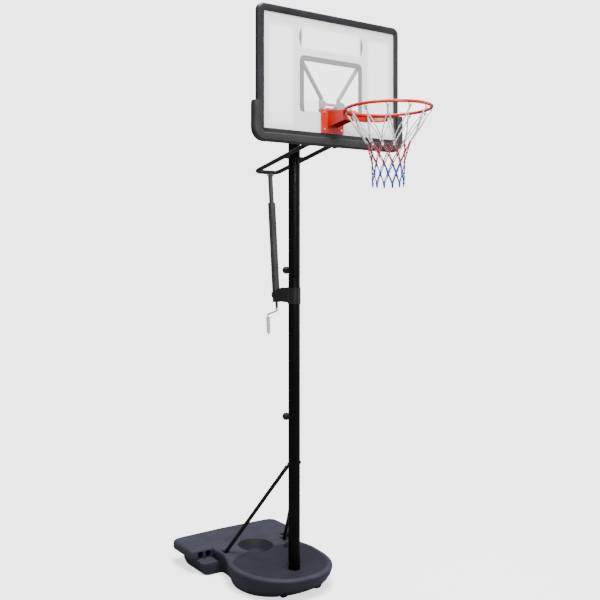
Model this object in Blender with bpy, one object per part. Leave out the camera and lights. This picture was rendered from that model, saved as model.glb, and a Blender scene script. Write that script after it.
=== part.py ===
"""Portable basketball hoop: a water-filled base on two wheels, a three-piece pole with two rear
braces, a parallel-arm lift worked by a screw jack, a framed board, and a rim with its net.

The frame is +Z up, with the floor at Z = 0 and the pole's axis at X = Y = 0. The board faces -Y.
Places are written as at(across, forward, height): forward is towards the player, so it is -Y.
"""

import math

import bmesh
import bpy
from mathutils import Vector

GAP = 0.0003  # clearance between pieces that touch

# Base
DECK = 0.160  # height of the deck behind the pole
NOSE_DROP = 0.014  # how far the deck falls towards the front edge
NOSE_CENTRE = -0.200
NOSE_SQUARENESS = 2.25  # 2 would make the nose a plain ellipse
WAIST_FORWARD = -0.440
WING_FRONT_CORNER = 0.035
WING_REAR_CORNER = 0.055
REAR_BOW = 0.012
SOCKET_FLOOR = 0.022
RECESS_FORWARD = -0.431
RECESS_RADIUS = 0.125
RECESS_DEPTH = 0.048
WHEEL_RADIUS = 0.040
WHEEL_WIDTH = 0.036
WHEEL_ACROSS = 0.135
WHEEL_FORWARD = 0.058
WHEEL_HEIGHT = 0.046
AXLE_RADIUS = 0.006
CAP_ACROSS = 0.185
CAP_FORWARD = -0.305
CAP_RADIUS = 0.027
BRACE_POCKET = 0.014  # depth of the pockets for the braces' feet

# Pole and its braces
POLE_RADIUS = 0.038
POLE_WALL = 0.0025
POLE_SIDES = 24
POLE_TOP = 3.062
POLE_JOINTS = (1.060, 2.020)  # heights where one section plugs into the next
PLUG_DEPTH = 0.080
KNOB_ABOVE_JOINT = 0.051
KNOB_RADIUS = 0.026
KNOB_FORWARD = -0.086
FOOT_BOLT_HEIGHT = 0.178
BRACE_RADIUS = 0.0125
BRACE_TOP = 0.824
BRACE_FOOT_ACROSS = 0.245
BRACE_FOOT_FORWARD = -0.435
FOOT_SCREW_BEHIND = 0.016
BRACE_SHEET = 0.0025  # half the thickness of a pressed end

# Lift: two pairs of parallel arms
PIVOT_HEIGHT = 2.800  # lower pivot on the pole
PIVOT_SPACING = 0.216  # the upper pivots are this far above the lower ones
ARM_ANGLE = math.radians(12.4)  # how far the arms rise to the front
ARM_LENGTH = 0.270
TAIL_LENGTH = 0.313  # from the pole's pivot back to the cross tube
ARM_ACROSS = 0.090
ARM_RADIUS = 0.014
ARM_WALL = 0.002
ARM_BEND = 0.036
UPPER_ARM_RADIUS = 0.011
BOLT_RADIUS = 0.005
BOLT_HOLE = 0.0056

# Screw jack and its crank
JACK_FOOT = (-0.195, 1.905)  # forward and height of the pivot on the pole's bracket
JACK_HEAD = (-0.262, 2.708)  # forward and height of the bolt under the cross tube
JACK_OUTER = 0.019  # half the width of the outer square tube
JACK_INNER = 0.0125
JACK_WALL = 0.0022
JACK_SCREW = 0.0060
CHEEK_SHEET = 0.003
EAR_SHEET = 0.004
SLOT_REACH = 0.011  # how far the head's bolt may wander in its slot, each way
SLOT_RADIUS = 0.0088
EAR_INSIDE = 0.016  # from the jack's axis to each ear
CRANK_REACH = 0.105
GRIP_LENGTH = 0.108
GRIP_RADIUS = 0.0135

# Board
BOARD_FACE = 0.378  # forward of the pole's axis
BOARD_HALF_WIDTH = 0.553
BOARD_BOTTOM = 2.862
BOARD_TOP = 3.626
BOARD_CORNER = 0.045
FRAME_WIDTH = 0.045
FRAME_DEPTH = 0.030
FRAME_LIP = 0.005
FRAME_WALL = 0.005
PANEL_THICKNESS = 0.005
PAD_TOP = 3.060
PAD_PROUD = 0.033
PAD_LIP = 0.019
PAD_SKIN = 0.010
BRACKET_HALF_WIDTH = 0.1095
BRACKET_SHEET = 0.003
WEB_TOP = 3.050
Y_BRACE_RADIUS = 0.0125
Y_BRACE_ACROSS = 0.066

# Rim and net
RIM_FORWARD = 0.846
RIM_HEIGHT = 2.990
RIM_RADIUS = 0.234
RIM_ROD = 0.009
RIM_PLATE = 0.004
STRAP_DEPTH = 0.036
RIM_BOLT_RADIUS = 0.004
RIM_BOLT_HEIGHTS = (2.931, 3.034)
HOOKS = 12
HOOK_WIRE = 0.0022
NET_BOTTOM = 2.552

FINISHES = {  # colour, roughness, metallic
    "base_plastic": ((0.075, 0.074, 0.095), 0.55, 0.0),
    "black_steel": ((0.012, 0.012, 0.013), 0.35, 0.6),
    "grey_steel": ((0.050, 0.049, 0.054), 0.40, 0.6),
    "zinc": ((0.45, 0.45, 0.47), 0.35, 0.9),
    "black_plastic": ((0.015, 0.015, 0.016), 0.45, 0.0),
    "grey_plastic": ((0.42, 0.42, 0.44), 0.50, 0.0),
    "tyre": ((0.020, 0.020, 0.020), 0.80, 0.0),
    "rim_paint": ((0.72, 0.055, 0.012), 0.35, 0.3),
    "panel": ((0.86, 0.87, 0.87), 0.15, 0.0),
    "pad_foam": ((0.030, 0.030, 0.034), 0.60, 0.0),
    "net_cord": ((0.80, 0.80, 0.80), 0.80, 0.0),
}


def at(across, forward, height):
    return Vector((across, -forward, height))


ACROSS = Vector((1, 0, 0))
FORWARD = Vector((0, -1, 0))
UP = Vector((0, 0, 1))
LOWER_POLE_PIVOT = at(0, 0, PIVOT_HEIGHT)
UPPER_POLE_PIVOT = at(0, 0, PIVOT_HEIGHT + PIVOT_SPACING)
ARM_DIRECTION = at(0, math.cos(ARM_ANGLE), math.sin(ARM_ANGLE))
LOWER_BOARD_PIVOT = LOWER_POLE_PIVOT + ARM_DIRECTION * ARM_LENGTH
UPPER_BOARD_PIVOT = UPPER_POLE_PIVOT + ARM_DIRECTION * ARM_LENGTH
JACK_BOTTOM = at(0, *JACK_FOOT)
JACK_TOP = at(0, *JACK_HEAD)
JACK_AXIS = (JACK_TOP - JACK_BOTTOM).normalized()
JACK_LENGTH = (JACK_TOP - JACK_BOTTOM).length
PANEL_FRONT = BOARD_FACE - FRAME_LIP
PANEL_BACK = PANEL_FRONT - PANEL_THICKNESS
WEB_BACK = PANEL_BACK - GAP - BRACKET_SHEET


# ---------------------------------------------------------------- modelling helpers


def clear_scene():
    for obj in list(bpy.data.objects):
        bpy.data.objects.remove(obj, do_unlink=True)


def as_object(mesh_data, name, finish, smooth=40):
    """Closes the bmesh into an object with its own material."""
    bmesh.ops.recalc_face_normals(mesh_data, faces=mesh_data.faces)
    mesh = bpy.data.meshes.new(name)
    mesh_data.to_mesh(mesh)
    mesh_data.free()
    mesh.shade_smooth()
    mesh.set_sharp_from_angle(angle=math.radians(smooth))
    obj = bpy.data.objects.new(name, mesh)
    bpy.context.scene.collection.objects.link(obj)
    colour, roughness, metallic = FINISHES[finish]
    material = bpy.data.materials.new(name)
    material.use_nodes = True
    shader = material.node_tree.nodes["Principled BSDF"]
    shader.inputs["Base Color"].default_value = (*colour, 1.0)
    shader.inputs["Roughness"].default_value = roughness
    shader.inputs["Metallic"].default_value = metallic
    mesh.materials.append(material)
    return obj


def boolean(target, other, operation):
    other.hide_render = True
    other.display_type = "WIRE"
    modifier = target.modifiers.new(operation.title(), "BOOLEAN")
    modifier.operation = operation
    modifier.solver = "EXACT"
    modifier.object = other


def cut(target, *cutters):
    for cutter in cutters:
        boolean(target, cutter, "DIFFERENCE")


def weld(target, *others):
    for other in others:
        boolean(target, other, "UNION")


def circle(radius, sides=16):
    turn = 2 * math.pi / sides
    return [(radius * math.cos(i * turn), radius * math.sin(i * turn)) for i in range(sides)]


def square(half, chamfer=0.0025):
    low = half - chamfer
    eighth = ((half, low), (low, half), (-low, half), (-half, low))
    return [*eighth, *((-x, -y) for x, y in eighth)]


def hexagon(radius, sides=12):
    """A hexagon over its corners, with as many points as the round stations beside it."""
    points = []
    for x, y in circle(1.0, sides):
        corner = (math.atan2(y, x) + math.pi / 6) % (math.pi / 3) - math.pi / 6
        reach = radius * math.cos(math.pi / 6) / math.cos(math.pi / 6 - abs(corner))
        points.append((x * reach, y * reach))
    return points


def skin_rings(mesh_data, rings, closed):
    """Faces between each ring and the next; closed joins the last ring to the first."""
    pairs = list(zip(rings, rings[1:]))
    if closed:
        pairs.append((rings[-1], rings[0]))
    for low, high in pairs:
        for i, corner in enumerate(low):
            j = (i + 1) % len(low)
            mesh_data.faces.new((corner, low[j], high[j], high[i]))
    if not closed:
        mesh_data.faces.new(rings[0])
        mesh_data.faces.new(rings[-1])


def sweep(name, path, outer, inner, finish, side=ACROSS):
    """Carries an outline along a path; with an inner outline it is a tube, open at both ends."""

    def rings_of(outline):
        rings = []
        for i, point in enumerate(path):
            ahead = path[min(i + 1, len(path) - 1)]
            behind = path[max(i - 1, 0)]
            along = (ahead - behind).normalized()
            first = (side - along * side.dot(along)).normalized()
            second = along.cross(first)
            rings.append([mesh_data.verts.new(point + first * u + second * v) for u, v in outline])
        return rings

    mesh_data = bmesh.new()
    rings = rings_of(outer)
    if inner:
        rings += reversed(rings_of(inner))
    skin_rings(mesh_data, rings, closed=bool(inner))
    return as_object(mesh_data, name, finish)


def turned(name, start, along, stations, finish, bore=None, sides=16):
    """A turned piece: (distance, radius) stations along an axis, or (distance, outline).

    The bore is one radius, or its own stations, listed back from the far end.
    """
    along = along.normalized()
    side = UP if abs(along.z) < 0.5 else ACROSS
    first = (side - along * side.dot(along)).normalized()
    second = along.cross(first)
    mesh_data = bmesh.new()
    hole = bore or []
    if isinstance(bore, float):
        hole = [(stations[-1][0], bore), (stations[0][0], bore)]
    rings = []
    for distance, shape in [*stations, *hole]:
        outline = shape if isinstance(shape, list) else circle(shape, sides)
        ring = [start + along * distance + first * u + second * v for u, v in outline]
        rings.append([mesh_data.verts.new(point) for point in ring])
    skin_rings(mesh_data, rings, closed=bool(bore))
    return as_object(mesh_data, name, finish)


def rod(name, start, end, radius, finish="black_steel", sides=16):
    along = end - start
    return turned(name, start, along, [(0, radius), (along.length, radius)], finish, sides=sides)


def bolt(name, start, along, grip, finish="zinc", radius=BOLT_RADIUS):
    """A hexagon bolt with its nut, drawn tight: grip is the thickness that it holds."""
    head = hexagon(radius * 1.75)
    stations = [
        (-radius * 1.3, head),
        (0, head),
        (0, circle(radius, 12)),
        (grip, circle(radius, 12)),
        (grip, head),
        (grip + radius * 1.6, head),
        (grip + radius * 1.6, circle(radius, 12)),
        (grip + radius * 2.4, circle(radius * 0.85, 12)),
    ]
    return turned(name, start, along, stations, finish, sides=12)


def slab(name, outline, thickness, finish, smooth=30):
    """A flat outline of points, extruded by a vector."""
    mesh_data = bmesh.new()
    low = [mesh_data.verts.new(point) for point in outline]
    high = [mesh_data.verts.new(point + thickness) for point in outline]
    skin_rings(mesh_data, [low, high], closed=False)
    return as_object(mesh_data, name, finish, smooth)


def block(name, low, high, finish="base_plastic"):
    corners = ((low.x, low.y), (high.x, low.y), (high.x, high.y), (low.x, high.y))
    outline = [Vector((x, y, low.z)) for x, y in corners]
    return slab(name, outline, UP * (high.z - low.z), finish)


def rounded(corners, radius, steps=5):
    """The path through these corners, each one rounded off."""
    path = [corners[0]]
    for before, corner, after in zip(corners, corners[1:], corners[2:]):
        into = (before - corner).normalized()
        out = (after - corner).normalized()
        half = into.angle(out) / 2
        centre = corner + (into + out).normalized() * (radius / math.sin(half))
        reach = radius / math.tan(half)
        first = corner + into * reach - centre
        last = corner + out * reach - centre
        turn = math.pi - 2 * half
        for i in range(steps + 1):
            t = i / steps
            point = first * math.sin((1 - t) * turn) + last * math.sin(t * turn)
            path.append(centre + point / math.sin(turn))
    path.append(corners[-1])
    return path


def mirrored(build):
    """Builds the right-hand and the left-hand copy of a piece."""
    return [build("right", 1), build("left", -1)]


def carried(name, place, pieces, parent=None):
    """Puts pieces under an empty that sits on their joint's axis."""
    empty = bpy.data.objects.new(name, None)
    bpy.context.scene.collection.objects.link(empty)
    empty["place"] = place
    empty.parent = parent
    empty.location = place - Vector(parent["place"]) if parent else place
    for piece in pieces:
        piece.parent = empty
        piece.location = -place
    return empty


# ---------------------------------------------------------------- base


def half_outline(nose, half, waist, wing_front, wing_half, rear):
    """Right-hand half of the base's outline, from the front of the nose to the middle of the rear."""
    points = [(0.0, nose)]
    reach = nose - NOSE_CENTRE
    power = 2 / NOSE_SQUARENESS
    for i in range(1, 10):
        angle = math.radians(10 * i)
        across = half * math.sin(angle) ** power
        points.append((across, NOSE_CENTRE + reach * math.cos(angle) ** power))
    for i in range(1, 6):
        t = i / 5
        across = waist + (half - waist) * (1 + math.cos(math.pi * t)) / 2
        points.append((across, NOSE_CENTRE + (WAIST_FORWARD - NOSE_CENTRE) * t))
    points.append((waist, wing_front + 0.014))
    points.append((waist + 0.012, wing_front + 0.003))
    for i in range(4):
        angle = math.radians(30 * i)
        across = wing_half - WING_FRONT_CORNER * (1 - math.sin(angle))
        points.append((across, wing_front - WING_FRONT_CORNER * (1 - math.cos(angle))))
    for i in range(4):
        angle = math.radians(30 * i)
        across = wing_half - WING_REAR_CORNER * (1 - math.cos(angle))
        points.append((across, rear + WING_REAR_CORNER * (1 - math.sin(angle))))
    points.append((0.0, rear - REAR_BOW))
    return points


def deck_height(forward, height):
    """The deck falls a little towards the nose; lower levels follow it less."""
    t = min(max((forward + 0.36) / 0.22, 0.0), 1.0)
    ease = t * t * (3 - 2 * t)
    return height - NOSE_DROP * ease * (height / DECK)


def wheel_well(name, centre):
    """An arch over the wheel, open below and at the front."""
    half = WHEEL_WIDTH / 2 + 0.004
    reach = WHEEL_RADIUS + 0.006
    shape = [(0.2, -0.1), (0.2, 0.0)]
    for i in range(9):
        angle = math.radians(180 * i / 8)
        shape.append((reach * math.cos(angle), reach * math.sin(angle)))
    shape.append((-reach, -0.1))
    outline = [centre + at(-half, forward, height) for forward, height in shape]
    return slab(name, outline, ACROSS * 2 * half, "base_plastic")


def base_tank():
    levels = (  # height, nose, half width of the nose, waist, wing front, wing half, rear
        (0.000, 0.050, 0.300, 0.238, -0.488, 0.368, -0.762),
        (0.010, 0.074, 0.314, 0.242, -0.486, 0.380, -0.776),
        (0.040, 0.118, 0.328, 0.250, -0.484, 0.390, -0.790),
        (0.082, 0.150, 0.336, 0.258, -0.483, 0.396, -0.797),
        (0.088, 0.154, 0.338, 0.262, -0.556, 0.398, -0.799),
        (0.096, 0.160, 0.341, 0.272, -0.553, 0.434, -0.832),
        (0.106, 0.166, 0.344, 0.276, -0.552, 0.445, -0.843),
        (0.144, 0.178, 0.350, 0.284, -0.552, 0.445, -0.843),
        (0.154, 0.173, 0.346, 0.280, -0.557, 0.439, -0.838),
        (DECK, 0.160, 0.336, 0.270, -0.568, 0.426, -0.826),
    )
    mesh_data = bmesh.new()
    rings = []
    for height, *shape in levels:
        half = half_outline(*shape)
        whole = half + [(-across, forward) for across, forward in half[-2:0:-1]]
        places = [at(x, forward, deck_height(forward, height)) for x, forward in whole]
        rings.append([mesh_data.verts.new(place) for place in places])
    for low, high in zip(rings, rings[1:]):
        for i, corner in enumerate(low):
            j = (i + 1) % len(low)
            mesh_data.faces.new((corner, low[j], high[j], high[i]))
    count = len(rings[0])
    for ring in (rings[0], rings[-1]):  # planks across, so that the deck can fall forward
        mesh_data.faces.new((ring[0], ring[1], ring[-1]))
        for i in range(1, count // 2 - 1):
            mesh_data.faces.new((ring[i], ring[i + 1], ring[count - i - 1], ring[count - i]))
        middle = count // 2
        mesh_data.faces.new((ring[middle - 1], ring[middle], ring[middle + 1]))
    tank = as_object(mesh_data, "base_tank", "base_plastic", smooth=35)

    bowl_radius = (RECESS_RADIUS**2 + RECESS_DEPTH**2) / (2 * RECESS_DEPTH)
    bowl_centre = at(0, RECESS_FORWARD, DECK - RECESS_DEPTH + bowl_radius)
    reach = math.asin(RECESS_RADIUS / bowl_radius) * 1.15
    stations = [(0.0, 0.004)]
    for i in range(1, 7):
        angle = reach * i / 6
        stations.append((bowl_radius * (1 - math.cos(angle)), bowl_radius * math.sin(angle)))
    bottom = bowl_centre - UP * bowl_radius
    cut(tank, turned("recess_cutter", bottom, UP, stations, "base_plastic", sides=28))
    socket = [(0, POLE_RADIUS + 0.0012), (0.2, POLE_RADIUS + 0.0012)]
    socket_place = at(0, 0, SOCKET_FLOOR)
    cut(tank, turned("socket_cutter", socket_place, UP, socket, "base_plastic", sides=POLE_SIDES))
    cap_floor = deck_height(CAP_FORWARD, DECK) - 0.022
    mouth = [(0, CAP_RADIUS + 0.001), (0.05, CAP_RADIUS + 0.001)]
    cap_place = at(CAP_ACROSS, CAP_FORWARD, cap_floor)
    cut(tank, turned("cap_cutter", cap_place, UP, mouth, "base_plastic", sides=24))
    for side in (1, -1):
        foot = at(side * BRACE_FOOT_ACROSS, BRACE_FOOT_FORWARD, DECK)
        size = Vector((0.022, 0.030, BRACE_POCKET))
        cut(tank, block(f"brace_pocket_{side}", foot - size, foot + size + UP * 0.02))
        start = foot + at(0, -FOOT_SCREW_BEHIND, -0.05)
        hole = [(0, 0.0046), (0.1, 0.0046)]
        cut(tank, turned(f"foot_hole_{side}", start, UP, hole, "zinc", sides=12))
        for inner in (0.290, 0.352):  # two hand holes under each wing's front edge
            low = at(side * inner, -0.620, 0.094)
            high = at(side * (inner + 0.044), -0.520, 0.143)
            corners = [min(low.x, high.x), min(low.y, high.y), low.z]
            ends = [max(low.x, high.x), max(low.y, high.y), high.z]
            cut(tank, block(f"hand_hole_{side}_{inner}", Vector(corners), Vector(ends)))
        centre = at(side * WHEEL_ACROSS, WHEEL_FORWARD, WHEEL_HEIGHT)
        cut(tank, wheel_well(f"wheel_well_{side}", centre))
    reach = WHEEL_ACROSS + WHEEL_WIDTH / 2 + 0.012
    axle = [(0, AXLE_RADIUS + 0.0006), (2 * reach, AXLE_RADIUS + 0.0006)]
    start = at(-reach, WHEEL_FORWARD, WHEEL_HEIGHT)
    cut(tank, turned("axle_cutter", start, ACROSS, axle, "zinc", sides=16))
    return tank


def base():
    base_tank()
    reach = WHEEL_ACROSS + WHEEL_WIDTH / 2 + 0.011
    axle_end = at(reach, WHEEL_FORWARD, WHEEL_HEIGHT)
    rod("wheel_axle", axle_end - ACROSS * 2 * reach, axle_end, AXLE_RADIUS, "zinc", 12)
    half = WHEEL_WIDTH / 2
    hub = 0.014
    profile = [
        (-half, hub),
        (-half + 0.006, hub + 0.002),
        (-half + 0.007, WHEEL_RADIUS - 0.012),
        (-half + 0.001, WHEEL_RADIUS - 0.010),
        (-half + 0.003, WHEEL_RADIUS - 0.002),
        (-half + 0.008, WHEEL_RADIUS),
    ]
    profile += [(-distance, radius) for distance, radius in reversed(profile)]

    def wheel(word, side):
        centre = at(side * WHEEL_ACROSS, WHEEL_FORWARD, WHEEL_HEIGHT)
        bore = AXLE_RADIUS + 0.0006
        piece = turned(f"wheel_{word}", centre, ACROSS, profile, "tyre", bore=bore, sides=20)
        return carried(f"wheel_{word}_axis", centre, [piece])

    mirrored(wheel)
    surface = deck_height(CAP_FORWARD, DECK)
    cap_place = at(CAP_ACROSS, CAP_FORWARD, surface)
    profile = [
        (-0.0217, CAP_RADIUS - 0.006),
        (0.000, CAP_RADIUS - 0.006),
        (0.001, CAP_RADIUS),
        (0.008, CAP_RADIUS),
        (0.010, CAP_RADIUS - 0.003),
    ]
    cap = turned("filler_cap", cap_place, UP, profile, "black_plastic", sides=24)
    grip_low = cap_place + Vector((-0.004, -0.021, 0.009))
    weld(cap, block("cap_grip", grip_low, grip_low + Vector((0.008, 0.042, 0.007))))
    carried("filler_cap_axis", cap_place, [cap])


# ---------------------------------------------------------------- pole and braces


def cross_hole(name, height, forward=0.0, radius=BOLT_HOLE):
    return rod(name, at(-0.2, forward, height), at(0.2, forward, height), radius, sides=12)


def pole():
    inner = POLE_RADIUS - POLE_WALL
    plug = inner - GAP
    plug_bore = plug - POLE_WALL
    ends = [SOCKET_FLOOR + GAP, *POLE_JOINTS, POLE_TOP]
    sections = []
    for i, word in enumerate(("lower", "middle", "upper")):
        low, high = ends[i], ends[i + 1]
        length = high - low
        if word == "lower":
            profile = [(0, POLE_RADIUS), (length, POLE_RADIUS)]
            bore = inner
        else:  # a narrower plug slides down into the section below
            profile = [(-PLUG_DEPTH, plug), (GAP, plug), (GAP, POLE_RADIUS), (length, POLE_RADIUS)]
            bore = [(length, inner), (0.012, inner), (0.006, plug_bore), (-PLUG_DEPTH, plug_bore)]
        place = at(0, 0, low)
        sections.append(turned(f"pole_{word}", place, UP, profile, "black_steel", bore, POLE_SIDES))
    lower, middle, upper = sections
    cut(lower, cross_hole("foot_bolt_hole", FOOT_BOLT_HEIGHT))
    cut(lower, cross_hole("brace_bolt_hole", BRACE_TOP))
    cut(upper, cross_hole("lower_pivot_hole", PIVOT_HEIGHT))
    cut(upper, cross_hole("upper_pivot_hole", UPPER_POLE_PIVOT.z))
    dome = [
        (-0.020, plug),
        (GAP, plug),
        (GAP, POLE_RADIUS),
        (0.004, POLE_RADIUS),
        (0.011, POLE_RADIUS * 0.75),
        (0.014, POLE_RADIUS * 0.35),
    ]
    turned("pole_top_cap", at(0, 0, POLE_TOP), UP, dome, "black_plastic", sides=POLE_SIDES)
    for word, height, section in zip(("lower", "upper"), POLE_JOINTS, (middle, upper)):
        pole_knob(word, height + KNOB_ABOVE_JOINT, section)
    half_grip = POLE_RADIUS + 0.004
    bolt_start = at(-half_grip, 0, FOOT_BOLT_HEIGHT)
    bolt("pole_foot_bolt", bolt_start, ACROSS, 2 * half_grip, "black_steel")


def pole_knob(word, height, section):
    """A ball knob whose screw presses on the pole's joint from behind."""
    centre = at(0, KNOB_FORWARD, height)
    back = -FORWARD
    collar = KNOB_FORWARD + POLE_RADIUS + 0.005  # clear of the pole
    profile = [(collar - 0.017, 0.004), (collar, 0.004), (collar, 0.011), (-0.026, 0.012)]
    for i in range(1, 8):
        angle = math.radians(-65 + 155 * i / 7)
        profile.append((KNOB_RADIUS * math.sin(angle), max(KNOB_RADIUS * math.cos(angle), 0.004)))
    knob = turned(f"pole_knob_{word}", centre, back, profile, "black_plastic", sides=16)
    hole = [(0, 0.0046), (0.06, 0.0046)]
    cut(section, turned(f"knob_hole_{word}", at(0, 0, height), back, hole, "zinc", sides=12))
    carried(f"pole_knob_{word}_axis", centre, [knob])


def braces():
    """A tube down each side from the pole to the deck, with its ends pressed flat and drilled."""
    sheet = BRACE_SHEET

    def brace(word, side):
        top = at(side * (POLE_RADIUS + sheet + 0.001), 0, BRACE_TOP)
        foot_height = DECK - BRACE_POCKET + sheet + GAP
        foot = at(side * BRACE_FOOT_ACROSS, BRACE_FOOT_FORWARD, foot_height)
        knee = foot + at(0, 0.012, 0.020)
        along = (top - knee).normalized()
        path = [foot + at(0, 0.004, 0.006), knee, top - along * 0.030]
        tube = sweep(f"brace_{word}", path, circle(BRACE_RADIUS, 12), None, "black_steel")
        tab = (
            (0.013, 0.000),
            (0.009, 0.011),
            (-0.006, 0.013),
            (-0.030, -0.026),
            (-0.022, -0.037),
            (0.010, -0.011),
        )
        outline = [top + at(-sheet, forward, height) for forward, height in tab]
        weld(tube, slab(f"brace_tab_{word}", outline, ACROSS * 2 * sheet, "black_steel"))
        low = foot + Vector((-0.013, -0.022, -sheet))
        high = foot + Vector((0.013, 0.027, sheet))
        weld(tube, block(f"brace_foot_{word}", low, high))
        cut(tube, cross_hole(f"brace_hole_{word}", BRACE_TOP))
        bolt_place = foot + at(0, -FOOT_SCREW_BEHIND, 0)
        hole_start = bolt_place - UP * 0.02
        hole = [(0, BOLT_HOLE), (0.04, BOLT_HOLE)]
        cut(tube, turned(f"brace_foot_hole_{word}", hole_start, UP, hole, "zinc", sides=12))
        screw = [
            (0.009, hexagon(0.0085)),
            (sheet + GAP, hexagon(0.0085)),
            (sheet + GAP, circle(0.0042, 12)),
            (-0.030, circle(0.0042, 12)),
        ]
        turned(f"brace_foot_screw_{word}", bolt_place, UP, screw, "zinc", sides=12)
        return tube

    mirrored(brace)
    reach = POLE_RADIUS + 2 * sheet + 0.001 + GAP
    bolt("brace_pole_bolt", at(-reach, 0, BRACE_TOP), ACROSS, 2 * reach, "black_steel")


# ---------------------------------------------------------------- lift arms


def pivot_cutter(name, place, radius=BOLT_HOLE, half=0.2):
    return rod(name, place - ACROSS * half, place + ACROSS * half, radius, sides=12)


def lower_arm():
    """A bent tube that passes both sides of the pole, with the jack's two ears on its cross tube."""
    front = LOWER_BOARD_PIVOT + ARM_DIRECTION * 0.020
    back = LOWER_POLE_PIVOT - ARM_DIRECTION * TAIL_LENGTH
    out = ACROSS * ARM_ACROSS
    path = rounded([front - out, back - out, back + out, front + out], ARM_BEND, steps=4)
    up = ARM_DIRECTION.cross(ACROSS)
    outer, inner = circle(ARM_RADIUS, 12), circle(ARM_RADIUS - ARM_WALL, 12)
    arm = sweep("lower_arm_frame", path, outer, inner, "grey_steel", side=up)
    sheet = ACROSS * EAR_SHEET
    across_jack = JACK_AXIS.cross(ACROSS)
    wide, deep, neck = SLOT_REACH + 0.013, 0.016, 0.011
    for side in (1, -1):
        offset = ACROSS * side * EAR_INSIDE - (sheet if side < 0 else Vector())
        head = JACK_TOP + offset
        tube_centre = back + offset
        ends = ((-wide, -deep), (wide, -deep), (wide, deep), (-wide, deep))
        outline = [head + across_jack * u + JACK_AXIS * v for u, v in ends]
        beside = (tube_centre - head).normalized().cross(ACROSS) * neck
        strip = [head + beside, head - beside, tube_centre - beside, tube_centre + beside]
        weld(arm, slab(f"jack_ear_{side}", outline, sheet, "grey_steel"))
        weld(arm, slab(f"jack_ear_neck_{side}", strip, sheet, "grey_steel"))
    outline = []
    for end in (1, -1):
        for i in range(7):
            angle = math.radians(-90 + 30 * i)
            u = end * (SLOT_REACH + SLOT_RADIUS * math.cos(angle))
            v = end * SLOT_RADIUS * math.sin(angle)
            outline.append(JACK_TOP + across_jack * u + JACK_AXIS * v - ACROSS * 0.04)
    cut(arm, slab("jack_slot", outline, ACROSS * 0.08, "zinc"))
    cut(arm, pivot_cutter("lower_arm_front_hole", LOWER_BOARD_PIVOT))
    cut(arm, pivot_cutter("lower_arm_pole_hole", LOWER_POLE_PIVOT))
    return arm


def upper_arm(word, side):
    """A straight tube with a cross sleeve at the board's end."""
    offset = ACROSS * side * ARM_ACROSS
    back = UPPER_POLE_PIVOT - ARM_DIRECTION * 0.018 + offset
    front = UPPER_BOARD_PIVOT + offset
    arm = rod(f"upper_arm_{word}", back, front, UPPER_ARM_RADIUS, "grey_steel")
    sleeve_low = UPPER_BOARD_PIVOT + ACROSS * side * 0.048
    sleeve_high = UPPER_BOARD_PIVOT + ACROSS * side * (BRACKET_HALF_WIDTH - BRACKET_SHEET - 0.001)
    weld(arm, rod(f"upper_arm_sleeve_{word}", sleeve_low, sleeve_high, 0.0145, "grey_steel"))
    for place, hole in ((UPPER_BOARD_PIVOT, "front"), (UPPER_POLE_PIVOT, "pole")):
        cut(arm, pivot_cutter(f"upper_arm_{hole}_hole_{word}", place))
    return arm


def lift():
    uppers = mirrored(upper_arm)
    for level, pivot in (("lower", LOWER_POLE_PIVOT), ("upper", UPPER_POLE_PIVOT)):
        tube = ARM_RADIUS if level == "lower" else UPPER_ARM_RADIUS
        grip = ARM_ACROSS + tube + 0.001
        bolt(f"{level}_pole_bolt", pivot - ACROSS * grip, ACROSS, 2 * grip)
        for word, side in (("right", 1), ("left", -1)):
            start = pivot + ACROSS * side * (POLE_RADIUS + 0.0006)
            length = ARM_ACROSS - tube - POLE_RADIUS - 0.0016
            spacer = [(0, 0.009), (length, 0.009)]
            name = f"{level}_spacer_{word}"
            turned(name, start, ACROSS * side, spacer, "black_plastic", bore=BOLT_HOLE)
    carried("lower_arm_axis", LOWER_POLE_PIVOT, [lower_arm()])
    carried("upper_arms_axis", UPPER_POLE_PIVOT, uppers)


# ---------------------------------------------------------------- screw jack and crank


def on_jack(distance):
    return JACK_BOTTOM + JACK_AXIS * distance


def jack_tube(name, low, high, half, wall, finish):
    return sweep(name, [on_jack(low), on_jack(high)], square(half), square(half - wall, 0.0015), finish)


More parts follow.
